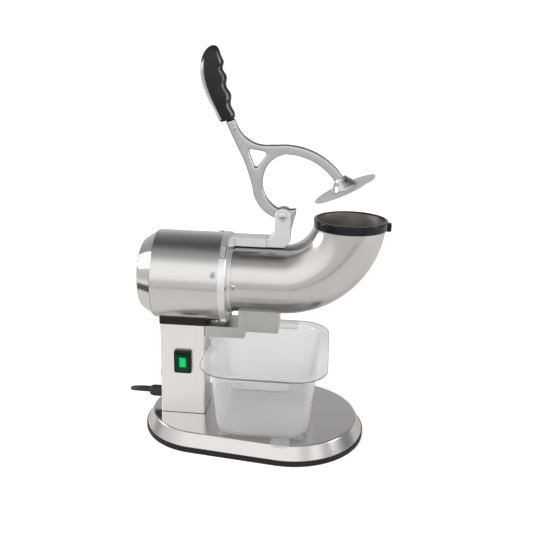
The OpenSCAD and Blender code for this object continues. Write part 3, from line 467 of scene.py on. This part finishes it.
def melted(node, voxel, rounds):
    """A copy of a CAD casting, remeshed and relaxed so that its edges round off as cast."""
    source = bpy.data.objects.new(node + "_source", NODES[node].data.copy())
    bpy.context.collection.objects.link(source)
    remesh = source.modifiers.new("remesh", "REMESH")
    remesh.mode = "VOXEL"
    remesh.voxel_size = voxel
    relax = source.modifiers.new("relax", "SMOOTH")
    relax.factor = 0.5
    relax.iterations = rounds
    mesh = bpy.data.meshes.new_from_object(source.evaluated_get(bpy.context.evaluated_depsgraph_get()))
    bpy.data.objects.remove(source)
    bm = bmesh.new()
    bm.from_mesh(mesh)
    add_piece(node + "_finished", bm, [node], angle=180, weighted=False)


# ---------------------------------------------------------------- power cord

CORD_D = 6.5 * MM
CORD_R = CORD_D / 2
# The same points as the cord's solids have in the CAD source, in millimetres.
LEAD_ROUTE = [
    (-176.6, 0, 48.9), (-183.35, 0, 48.9), (-190.06, 0.64, 48.65), (-196.38, 2.77, 47.71),
    (-201.93, 6.22, 46.08), (-206.47, 10.67, 43.83), (-209.86, 15.89, 41.23),
    (-212.06, 21.7, 38.63), (-212.98, 27.86, 36.03), (-212.54, 34.06, 33.42),
    (-210.94, 40.08, 30.82), (-208.53, 45.82, 28.21), (-205.61, 51.33, 25.61),
    (-202.39, 56.66, 23), (-198.99, 61.88, 20.4), (-195.54, 67.07, 17.79),
    (-192.14, 72.3, 15.19), (-188.91, 77.63, 12.58), (-185.99, 83.13, 9.98),
    (-183.57, 88.9, 7.44), (-181.93, 95.12, 5.41), (-181.53, 101.7, 4.02),
    (-182.06, 108.39, 3.33), (-183.17, 115.03, 3.25), (-184.71, 121.58, 3.25),
    (-186.55, 128.03, 3.25), (-188.56, 134.42, 3.25), (-190.66, 140.78, 3.25),
    (-192.75, 147.14, 3.25), (-194.73, 153.55, 3.25), (-196.49, 160.02, 3.25),
    (-197.93, 166.59, 3.25), (-198.89, 173.26, 3.25),
]
TAIL_ROUTE = [
    (-190.82, 206.3, 9.75), (-188.48, 211.54, 9.7), (-186.4, 216.62, 9.3),
    (-184.34, 221.52, 8.5), (-182.09, 226.29, 7.4), (-179.4, 230.94, 6.2),
    (-176.09, 235.49, 5.4), (-172, 240, 5.2), (-168.46, 243.54, 5.2),
]
COIL_CENTRE = Vector((-157.5, 180)) * MM
COIL_R = 35 * MM
COIL_PITCH = 6.75 * MM


def eased(turned, start, width=110.0):
    """0 before start, 1 after start + width, and smooth between, in degrees."""
    t = min(max((turned - start) / width, 0), 1)
    return t * t * (3 - 2 * t)


def coil_point(turned):
    """A point on the coil, by the degrees wound since the lead joined it: three turns
    inwards on the table, then three outwards on top of them."""
    steps = -eased(turned, 225) - eased(turned, 585) + eased(turned, 1110) + eased(turned, 1470)
    radius = COIL_R + COIL_PITCH * (1 + steps)
    angle = math.radians(180 - turned)
    return Vector((COIL_CENTRE.x + radius * math.cos(angle), COIL_CENTRE.y + radius * math.sin(angle),
                   CORD_R + CORD_D * eased(turned, 835)))


def add_cord():
    points = [Vector(point) * MM for point in LEAD_ROUTE]
    points += [coil_point(turned) for turned in range(0, 1831, 15)]
    points += [Vector(point) * MM for point in TAIL_ROUTE]
    curve = bpy.data.curves.new("power_cord", "CURVE")
    curve.dimensions = "3D"
    curve.bevel_depth = CORD_R
    curve.bevel_resolution = 5
    curve.resolution_u = 4
    curve.use_fill_caps = True
    spline = curve.splines.new("BEZIER")
    spline.bezier_points.add(len(points) - 1)
    for knot, point in zip(spline.bezier_points, points):
        knot.co = point
        knot.handle_left_type = "AUTO"
        knot.handle_right_type = "AUTO"
    curve.materials.append(PVC)
    cord = bpy.data.objects.new("power_cord", curve)
    bpy.context.collection.objects.link(cord)
    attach(cord, "machine")
    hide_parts("cord_lead", "cord_coil", "cord_tail")


softened("plug", 1.2 * MM, 3, name="moulded_plug")
add_cord()


# ---------------------------------------------------------------- base

BASE_LO, BASE_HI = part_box("base_pan")
EDGE_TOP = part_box("base_edge")[1].z
BACK = (-84.4 * MM, 94 * MM)
FRONT = (45.6 * MM, 111.5 * MM)


def base_ring(grow, z, steps=72):
    """The base's outline, grown, at a height: two arcs joined by their tangents."""
    lean = math.asin((FRONT[1] - BACK[1]) / (FRONT[0] - BACK[0]))
    ring = []
    for (centre, radius), first, last in ((FRONT, -math.pi / 2 - lean, math.pi / 2 + lean),
                                          (BACK, math.pi / 2 + lean, 1.5 * math.pi - lean)):
        for k in range(steps + 1):
            a = first + (last - first) * k / steps
            ring.append((centre + (radius + grow) * math.cos(a), (radius + grow) * math.sin(a), z))
    return ring


def add_base():
    top, skirt, shoulder = BASE_HI.z, EDGE_TOP, 10 * MM
    profile = fillet([(0, BASE_LO.z), (0, skirt + 0.8 * MM), (-shoulder, top), (-shoulder - 6 * MM, top)],
                     [0, 2.4 * MM, 3.2 * MM, 0], 7, closed=False)
    bm = bmesh.new()
    inner = [base_ring(g - 1.5 * MM, z - (1.5 * MM if z > skirt else 0)) for g, z in reversed(profile)]
    outer = [base_ring(g, z) for g, z in profile]
    loft(bm, inner + outer)
    add_piece("base_shell", bm, ["base_pan"])

    bm = bmesh.new()
    section = fillet([(1.5 * MM, 0), (1.5 * MM, skirt), (0.1 * MM, skirt), (0.1 * MM, 2 * MM),
                      (-7 * MM, 2 * MM), (-7 * MM, 0)],
                     [1.1 * MM, 0.7 * MM, 0.3 * MM, 0, 0.4 * MM, 0.4 * MM])
    loft(bm, [base_ring(g, z) for g, z in section], loop=True)
    add_piece("base_edging", bm, ["base_edge"])


add_base()


# ---------------------------------------------------------------- motor

def add_motor():
    low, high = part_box("motor_shell")
    radius, wall = (high.y - low.y) / 2, 1.5 * MM
    bm = bmesh.new()
    profile = fillet([(low.x, radius - wall), (low.x, radius), (high.x, radius), (high.x, radius - wall)],
                     [0, 0.5 * MM, 0.3 * MM, 0], 3)
    lathe(bm, profile, along_x(), 192)
    add_piece("motor_can", bm, ["motor_shell"])

    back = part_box("motor_end_cap")[0].x
    small = 51 * MM
    bm = bmesh.new()
    outer = fillet([(low.x - 0.2 * MM, radius), (back + 3 * MM, small + 1.6 * MM), (back, small - 2 * MM),
                    (back, 41 * MM)], [0, 6 * MM, 6 * MM, 0], 8, closed=False)
    outer.insert(0, Vector((low.x - 0.2 * MM, radius - wall)))
    inner = [Vector((back + wall, 41 * MM)), Vector((back + wall, small - 3 * MM)),
             Vector((low.x - 0.6 * MM, radius - 2 * wall))]
    lathe(bm, outer + inner, along_x(), 192)
    add_piece("end_cap_cone", bm, ["motor_end_cap"], CONE_STEEL)


def add_vented_plate():
    """Flat back of the end cap, with its ring of slots."""
    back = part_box("motor_end_cap")[0].x
    bm = bmesh.new()
    slots = 12
    loft(bm, [circle(along_x(x), 0, 41.2 * MM, 96) for x in (back, back + 1.5 * MM)])
    plate = add_piece("end_cap_back", bm, ["motor_end_cap"], ROUND_STEEL, weighted=False)
    bm = bmesh.new()
    for k in range(slots):
        turn = Matrix.Rotation(2 * math.pi * k / slots, 4, "Z")
        side = arc((36 * MM, 0), 1.7 * MM, -90, 90, 8) + arc((19 * MM, 0), 1.7 * MM, 90, 270, 8)
        loft(bm, [[along_x(x) @ turn @ Vector((p.x, p.y, 0)) for p in side]
                  for x in (back - MM, back + 3 * MM)])
    cut(plate, bm)


def cut(piece, bm):
    """Cuts a closed shape out of a piece and keeps the result in its mesh."""
    mesh = bpy.data.meshes.new("cutter")
    bmesh.ops.recalc_face_normals(bm, faces=bm.faces)
    bm.to_mesh(mesh)
    bm.free()
    cutter = bpy.data.objects.new("cutter", mesh)
    bpy.context.collection.objects.link(cutter)
    piece.modifiers.clear()
    boolean = piece.modifiers.new("cut", "BOOLEAN")
    boolean.operation = "DIFFERENCE"
    boolean.solver = "EXACT"
    boolean.object = cutter
    evaluated = piece.evaluated_get(bpy.context.evaluated_depsgraph_get())
    result = bpy.data.meshes.new_from_object(evaluated)
    piece.modifiers.clear()
    piece.data = result
    bpy.data.objects.remove(cutter)
    for polygon in result.polygons:
        polygon.use_smooth = True
    result.set_sharp_from_angle(angle=math.radians(32))
    piece.modifiers.new("normals", "WEIGHTED_NORMAL").keep_sharp = True


add_motor()
add_vented_plate()


# ---------------------------------------------------------------- tube, collar and chute

TUBE_LO, TUBE_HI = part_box("feed_tube")
TUBE_R = (TUBE_HI.y - TUBE_LO.y) / 2
BORE_R = TUBE_R - 2 * MM
BEND_R = PIVOT.z - AXIS_Z
MOUTH_X = PIVOT.x + BEND_R


def tube_rings(radius, start, top, steps=128):
    """Rings of a round tube: straight from start to the pivot, then the bend up to top."""
    rings = []

    def ring(centre, out):
        return [centre + out * (radius * math.cos(2 * math.pi * k / steps))
                + Vector((0, radius * math.sin(2 * math.pi * k / steps), 0)) for k in range(steps)]

    xs = [start + (PIVOT.x - start) * k / 24 for k in range(24)]
    rings += [ring(Vector((x, 0, AXIS_Z)), Vector((0, 0, -1))) for x in xs]
    end = math.degrees(math.acos((PIVOT.z - top) / BEND_R)) if top < PIVOT.z else 90
    for k in range(49):
        a = math.radians(k / 48 * end)
        out = Vector((math.sin(a), 0, -math.cos(a)))
        rings.append(ring(PIVOT + out * BEND_R, out))
    return rings


def add_tube():
    bm = bmesh.new()
    outer = tube_rings(TUBE_R, TUBE_LO.x, TUBE_HI.z)
    inner = tube_rings(BORE_R, TUBE_LO.x, TUBE_HI.z)
    loft(bm, outer + inner[::-1], loop=True)
    bm.faces.ensure_lookup_table()
    # Inner faces take the lighter bore steel, painted light inside the tube.
    for face in bm.faces[len(outer) * len(outer[0]):]:
        face.material_index = 1
    tube = add_piece("bent_tube", bm, ["feed_tube"], angle=50, second=LIGHTENED_BORE_STEEL)
    chute_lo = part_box("chute")[0]
    bm = bmesh.new()
    rounded_box(bm, (chute_lo.x + 1.5 * MM, -23 * MM, chute_lo.z), (17.5 * MM, 23 * MM, AXIS_Z - 20 * MM),
                0.5 * MM, 2)
    cut(tube, bm)


add_tube()

COLLAR_LO, COLLAR_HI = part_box("mouth_collar")


def add_collar():
    """Glossy moulded ring: a rounded top lip, a lug at the front for its screw."""
    outer, low, high = 53.2 * MM, COLLAR_LO.z, COLLAR_HI.z
    mid = low + 3 * MM
    inner, ledge = BORE_R - 0.2 * MM, high - 1.5 * MM
    profile = fillet([(mid, TUBE_R), (mid, outer - 0.6 * MM), (high, outer), (high, inner),
                      (ledge, inner), (ledge, TUBE_R)],
                     [0, 1.0 * MM, 2.2 * MM, 1.2 * MM, 0.2 * MM, 0], 6)
    bm = bmesh.new()
    lathe(bm, profile, Matrix.Translation((MOUTH_X, 0, 0)), 160)
    add_piece("collar_ring", bm, ["mouth_collar"], angle=45)
    bm = bmesh.new()
    half = 5 * MM
    rounded_box(bm, (MOUTH_X + outer - 1.5 * MM, -half, low), (COLLAR_HI.x, half, high - 3.5 * MM),
                1.6 * MM)
    add_piece("collar_lug", bm, ["mouth_collar"])


add_collar()


# ---------------------------------------------------------------- lever, grip and plunger

def grip_spine(t):
    """Middle line of the grip about the pivot, in X and Z."""
    a, b, c, d = (Vector(p) * MM for p in ((-82.2, 131.5), (-90, 160), (-116, 198), (-97.5, 232.3)))
    return a * (1 - t) ** 3 + b * 3 * t * (1 - t) ** 2 + c * 3 * t * t * (1 - t) + d * t ** 3


def add_grip():
    """Moulded grip: flat cheeks, rounded edges and four finger bumps on the front."""
    half_y = (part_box("grip")[1].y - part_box("grip")[0].y) / 2
    corners = [(1, 0.30), (0.84, 0.80), (0.60, 1), (-0.58, 1), (-0.78, 0.78), (-0.96, 0.52), (-1, 0.30)]
    section = fillet([(x, -y) for x, y in corners] + corners[::-1], 0.09, 3)[::-1]
    steps, tip = 90, 0.982
    rings = []
    for i in range(steps + 1):
        u = math.sin(math.pi / 2 * i / steps) ** 0.9
        t = tip * u
        run = (grip_spine(t + 0.002) - grip_spine(t - 0.002)).normalized()
        across = Vector((run.y, -run.x))
        width = (9.8 + 7 * math.sin(math.radians(150 * t))) * max(math.sqrt(1 - u ** 9), 0.06) * MM
        width *= 1 + 0.06 * max(0, 1 - t * 14) - 0.10 * max(0, 1 - t * 60)
        bump = 1.7 * MM * math.cos(math.radians(360 * (4 * t - 0.25))) * (1 - u ** 9)
        depth = half_y * max(math.sqrt(1 - u ** 10), 0.06)
        depth *= 0.86 + 0.14 * math.sin(math.radians(min(t * 300, 90))) - 0.08 * max(0, 1 - t * 60)
        middle = grip_spine(t)
        ring = []
        for side, level in section:
            reach = side * width + bump * min(max(side * 2, 0), 1)
            spot = middle + across * reach
            ring.append(PIVOT + Vector((spot.x, level * depth, spot.y)))
        rings.append(ring)
    bm = bmesh.new()
    loft(bm, rings)
    add_piece("moulded_grip", bm, ["grip"], angle=60, weighted=False)


def add_hub():
    """Polished bell that carries the plunger disc, turned in the disc's own frame."""
    tilt = math.radians(26.1)
    low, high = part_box("plunger_disc")
    place = Matrix.Translation((low + high) / 2) @ Matrix.Rotation(-tilt, 4, "Y")
    bell = [(0.8, 19.4), (3.0, 19.4), (9.5, 14.6), (14.0, 10.6), (17.6, 8.4), (17.6, 0.5)]
    profile = [(0.8, 0.5)] + fillet(bell, [0.6, 2.2, 5, 5, 1.5, 0], 6, closed=False)
    bm = bmesh.new()
    lathe(bm, [(along * MM, radius * MM) for along, radius in profile], place, 96)
    add_piece("hub_bell", bm, ["plunger_hub"], angle=40)


add_grip()
add_hub()


# ---------------------------------------------------------------- tub

TUB_LO, TUB_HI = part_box("tub")
TUB_X = (TUB_LO.x + TUB_HI.x) / 2


def tray_ring(half_x, half_y, corner, z, shift=-0.7, steps=12):
    """One level of the tub: a rectangle with round corners, in millimetres."""
    ring = []
    for sx, sy, start in ((1, 1, 0), (-1, 1, 90), (-1, -1, 180), (1, -1, 270)):
        centre = (sx * (half_x - corner) + shift, sy * (half_y - corner))
        ring += [Vector((TUB_X + p.x * MM, p.y * MM, z * MM))
                 for p in arc(centre, corner, start, start + 90, steps)]
    return ring


RING_POINTS = len(tray_ring(50, 50, 10, 0))


def add_tub():
    """Clear moulded tub, its wall flowing into a flat rim."""
    lip_start, lip_end = (91.2, 116, 46, 132.8), (91.6, 116.4, 46.4, 134.95)
    levels = [(59, 85, 26, 30.5), (62.5, 89, 27.5, 31.7), (65.5, 92, 29, 34.5), (67.2, 94, 30, 38.2),
              (68.25, 95, 31, 42.5), (72.8, 99.3, 34.5, 86), (76.9, 103.2, 37.5, 127),
              (77.4, 103.8, 38, 130.5), (78.4, 104.8, 38.8, 132.2), (80.4, 106.6, 40, 132.8), lip_start,
              (91.9, 116.7, 46.7, 133.1), (92.2, 117, 47, 133.8), (92.1, 116.9, 46.9, 134.5), lip_end,
              (82, 107.5, 40.5, 135), (79.4, 105.4, 38.8, 134.8), (77.4, 103.6, 37.4, 134.0),
              (75.9, 102.3, 36.3, 132.4), (75.0, 101.5, 35.6, 129.5), (70.4, 96.9, 32.1, 86),
              (66.0, 92.7, 28.7, 43), (64.4, 91.2, 27.6, 39), (62.0, 88.8, 26, 35.8),
              (58.5, 85, 24, 33.6), (54, 80, 22, 32.9)]
    bm = bmesh.new()
    loft(bm, [tray_ring(*level, shift=0 if level[0] > 85 else -0.7) for level in levels])
    # The rim's faces take the dark edge finish: a painted dark line along the lip.
    bm.faces.ensure_lookup_table()
    for row in range(levels.index(lip_start), levels.index(lip_end)):
        for face in bm.faces[row * RING_POINTS:(row + 1) * RING_POINTS]:
            face.material_index = 1
    add_piece("tub_body", bm, ["tub"], angle=60, weighted=False, second=CLEAR_EDGE_SHADE)
    for side in (-1, 1):
        outline = fillet([(-40, 132.7), (-40, 119), (40, 119), (40, 132.7)], [0, 7.8, 7.8, 0], 8)
        rows = []
        for y in (114.9, 115.1, 116.7, 116.9):
            inset = 0.2 if y in (114.9, 116.9) else 0
            rows.append([Vector((TUB_X + (p.x - math.copysign(inset, p.x)) * MM, side * y * MM,
                                 (p.y + (inset if p.y < 125 else 0)) * MM)) for p in outline])
        bm = bmesh.new()
        loft(bm, rows)
        # The tabs' narrow edge faces take the same painted dark line.
        for face in bm.faces:
            face.material_index = int(len(face.verts) == 4 and face.calc_area() < 200 * MM * MM)
        name = "tub_tab_front" if side < 0 else "tub_tab_back"
        add_piece(name, bm, ["tub"], angle=60, weighted=False, second=CLEAR_EDGE_SHADE)
    for index, (sx, sy) in enumerate(((-1, -1), (1, -1), (1, 1), (-1, 1))):
        x, y = TUB_X + (sx * 54 - 0.7) * MM, sy * 80 * MM
        bm = bmesh.new()
        half_x, half_y = 7.5 * MM, 4.5 * MM
        rounded_box(bm, (x - half_x, y - half_y, TUB_LO.z), (x + half_x, y + half_y, 30.4 * MM), 1.2 * MM)
        add_piece(f"tub_foot_{index}", bm, ["tub"], angle=60)
    outline = fillet([(14.5, -113), (41.5, -113), (41.5, -86), (14.5, -86)], [10, 10, 2, 2], 8)
    rows = []
    for z, inset in ((28.4, 0.03), (28.7, 0), (30.1, 0), (30.4, 0.03)):
        rows.append([Vector((TUB_X + (p.x + (28 - p.x) * inset) * MM,
                             (p.y + (-90 - p.y) * inset) * MM, z * MM)) for p in outline])
    bm = bmesh.new()
    loft(bm, rows)
    add_piece("tub_pull", bm, ["tub"], angle=60, weighted=False)


add_tub()


# ---------------------------------------------------------------- small parts of the head

def add_pads():
    """Bolting pads on the ring's rim, each on a slightly larger dark plate that paints shadow round its edge."""
    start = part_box("motor_shell")[1].x
    for index, turned in enumerate((48, 132, -62, -118)):
        turn = Matrix.Translation((0, 0, AXIS_Z)) @ Matrix.Rotation(math.radians(-turned), 4, "X")
        # The dark plate, in the rubber finish, is painted shadow round each pad.
        for name, inset, out, material in (("pad_recess", 0.3, 68.5, RUBBER),
                                           ("ring_pad", 1.2, 69.1, HEAD_CAST)):
            bm = bmesh.new()
            rounded_box(bm, (start + (0.7 + inset) * MM, -out * MM, (-11.3 + inset) * MM),
                        (start + (10.0 - inset) * MM, -66 * MM, (11.3 - inset) * MM), 0.5 * MM)
            bm.transform(turn)
            add_piece(f"{name}_{index}", bm, ["head_casting"], material)


add_pads()

# The rest of the pieces follow the CAD solids, with their edges rounded or melted.
softened("chute", 0.25 * MM)
softened("support_arm", 0.6 * MM)
softened("column", 0.4 * MM)
softened("saddle_gasket", 0.8 * MM)
softened("head_casting", 0.5 * MM)
softened("clevis", 1.2 * MM, 3)
melted("lever", 1.1 * MM, 24)
softened("switch_bezel", 0.8 * MM, 3)


def add_foot_bead():
    """Thin dark strip round the foot of the column."""
    low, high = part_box("column")
    out = Vector((0.4 * MM, 0.4 * MM, 0))
    bm = bmesh.new()
    rounded_box(bm, low - out, Vector((high.x, high.y, low.z + 0.6 * MM)) + out, 0.25 * MM, 2)
    add_piece("column_foot_bead", bm, ["column"], RUBBER)


add_foot_bead()


# ---------------------------------------------------------------- studio

def add_card(name, corners, material):
    """A flat stage piece: the floor, or a dark cloth that only reflections show."""
    mesh = bpy.data.meshes.new(name)
    mesh.from_pydata(corners, [], [range(len(corners))])
    mesh.materials.append(material)
    card = bpy.data.objects.new(name, mesh)
    bpy.context.collection.objects.link(card)
    return card


def floor_material():
    """Pale paper, brighter to the camera so that it runs into the white background, and duller
    in reflections and through the clear tub."""
    material = shader("pale_floor", (0.86, 0.86, 0.86), 0.0, 0.9, Specular_IOR_Level=0.0)
    rays = add_node(material, "ShaderNodeLightPath")
    through = add_node(material, "ShaderNodeMath", operation="MINIMUM")
    material.node_tree.links.new(rays.outputs["Transparent Depth"], through.inputs[0])
    through.inputs[1].default_value = 0.86
    direct = add_node(material, "ShaderNodeMath", operation="SUBTRACT", use_clamp=True)
    material.node_tree.links.new(rays.outputs["Is Camera Ray"], direct.inputs[0])
    material.node_tree.links.new(through.outputs[0], direct.inputs[1])
    drive(material, "Emission Strength", remap(material, direct.outputs[0], 0, 0.36, 0, 1))
    dull = add_node(material, "ShaderNodeMath", operation="MAXIMUM")
    material.node_tree.links.new(rays.outputs["Is Glossy Ray"], dull.inputs[0])
    material.node_tree.links.new(through.outputs[0], dull.inputs[1])
    tint(material, dull.outputs[0], (0.86, 0.86, 0.86), (0.68, 0.67, 0.66))
    surface_of(material).inputs["Emission Color"].default_value = (1, 1, 1, 1)
    return material


def ramp_of(tree, value, stops):
    ramp = tree.nodes.new("ShaderNodeValToRGB")
    while len(ramp.color_ramp.elements) < len(stops):
        ramp.color_ramp.elements.new(0.5)
    for element, (place, level) in zip(ramp.color_ramp.elements, stops):
        element.position = place
        element.color = (level, level, level, 1)
    tree.links.new(value, ramp.inputs[0])
    return ramp.outputs[0]


def mix_in(tree, factor, first, second):
    mix = tree.nodes.new("ShaderNodeMix")
    mix.data_type = "RGBA"
    tree.links.new(factor, mix.inputs[0])
    for socket, value in ((mix.inputs[6], first), (mix.inputs[7], second)):
        if isinstance(value, tuple):
            socket.default_value = value
        else:
            tree.links.new(value, socket)
    return mix.outputs[2]


def add_world():
    """A wide bright wall in front, darker overhead and behind, and white where the camera looks."""
    world = bpy.data.worlds.new("studio")
    bpy.context.scene.world = world
    world.use_nodes = True
    tree = world.node_tree
    place = tree.nodes.new("ShaderNodeTexCoord")
    parts = tree.nodes.new("ShaderNodeSeparateXYZ")
    tree.links.new(place.outputs["Generated"], parts.inputs[0])
    front = ramp_of(tree, parts.outputs["Z"], FRONT_WALL)
    behind = ramp_of(tree, parts.outputs["Z"], BACK_WALL)
    side = tree.nodes.new("ShaderNodeMapRange")
    blend = 0.12
    side.inputs["From Min"].default_value = -blend
    side.inputs["From Max"].default_value = blend
    tree.links.new(parts.outputs["Y"], side.inputs["Value"])
    around = mix_in(tree, side.outputs["Result"], front, behind)
    sweep = tree.nodes.new("ShaderNodeMapRange")
    sweep.inputs["From Min"].default_value = -1
    tree.links.new(parts.outputs["X"], sweep.inputs["Value"])
    room = tree.nodes.new("ShaderNodeMix")
    room.data_type = "RGBA"
    room.blend_type = "MULTIPLY"
    room.inputs[0].default_value = 1
    tree.links.new(around, room.inputs[6])
    tree.links.new(ramp_of(tree, sweep.outputs["Result"], ROUND_WALL), room.inputs[7])
    rays = tree.nodes.new("ShaderNodeLightPath")
    colour = mix_in(tree, rays.outputs["Is Camera Ray"], room.outputs[2], BACKDROP)
    tree.links.new(colour, tree.nodes["Background"].inputs["Color"])
    tree.nodes["Background"].inputs["Strength"].default_value = 1.3


BACKDROP = (0.82, 0.82, 0.82, 1)
# Brightness from straight down to straight up.
FRONT_WALL = [(0.0, 0.86), (0.05, 0.92), (0.30, 1.0), (0.62, 1.0), (0.74, 0.72), (0.85, 0.40),
              (0.95, 0.30), (1.0, 0.06)]
BACK_WALL = [(0.0, 0.52), (0.25, 0.50), (0.45, 0.42), (0.62, 0.28), (0.87, 0.14), (1.0, 0.06)]
# From the left to the right: a dark gap and a narrower lamp at the mouth's end.
ROUND_WALL = [(0.0, 0.62), (0.18, 0.92), (0.30, 1.0), (0.62, 1.0), (0.70, 0.70), (0.76, 0.72),
              (0.80, 1.0), (0.86, 1.0), (0.92, 0.50), (1.0, 0.40)]


def sun(name, toward, power, spread):
    """Soft even light for the matt surfaces and the floor; metal shows the walls instead."""
    data = bpy.data.lights.new(name, "SUN")
    data.energy = power
    data.angle = math.radians(spread)
    lamp = bpy.data.objects.new(name, data)
    lamp.rotation_euler = Vector(toward).to_track_quat("-Z", "Y").to_euler()
    lamp.visible_glossy = False
    lamp.visible_transmission = False
    bpy.context.collection.objects.link(lamp)


def side_lamp(name, place, size, power, only=()):
    """A soft lamp at one side, whose reflection draws a bright line on glossy edges."""
    data = bpy.data.lights.new(name, "AREA")
    data.shape = "RECTANGLE"
    data.size, data.size_y = size
    data.energy = power
    lamp = bpy.data.objects.new(name, data)
    lamp.location = place
    lamp.visible_camera = False
    lamp.rotation_euler = (Vector((0, 0, 0.4)) - Vector(place)).to_track_quat("-Z", "Y").to_euler()
    bpy.context.collection.objects.link(lamp)
    if only:
        lit = bpy.data.collections.new(name + "_lights")
        for piece in only:
            lit.objects.link(bpy.data.objects[piece])
        lamp.light_linking.receiver_collection = lit


def add_studio():
    under = -0.0006
    wide, near, far = 40, -9, 80
    add_card("floor", [(-wide, near, under), (wide, near, under), (wide, far, under), (-wide, far, under)],
             floor_material())
    flag = shader("flag_cloth", (0.06, 0.06, 0.06), 0.0, 0.95)
    z = 0.001
    for name, x0, x1, y0, y1 in (("front_flag", -0.9, 0.9, -0.78, -0.70),
                                 ("side_flag", -0.94, -0.61, -0.69, 0.2)):
        card = add_card(name, [(x0, y0, z), (x1, y0, z), (x1, y1, z), (x0, y1, z)], flag)
        card.visible_camera = False
        card.visible_diffuse = False
        card.visible_shadow = False
        card.visible_transmission = False
    add_world()
    side_lamp("left_lamp", (-1.6, 0.08, 0.70), (0.60, 0.40), 7.0)
    side_lamp("right_lamp", (1.6, -0.25, 0.75), (0.50, 0.45), 6.0)
    side_lamp("left_rim", (-0.75, 0.08, 0.33), (0.6, 0.64), 11.0, ["moulded_grip"])
    side_lamp("right_rim", (1.5, -0.80, 1.25), (0.8, 2.4), 50.0, ["moulded_grip"])
    sun("key", (0.55, 0.45, -0.9), 1.5, 28)
    sun("fill", (-0.5, 0.8, -0.9), 0.7, 60)
    bpy.context.scene.view_settings.view_transform = "Standard"


add_studio()
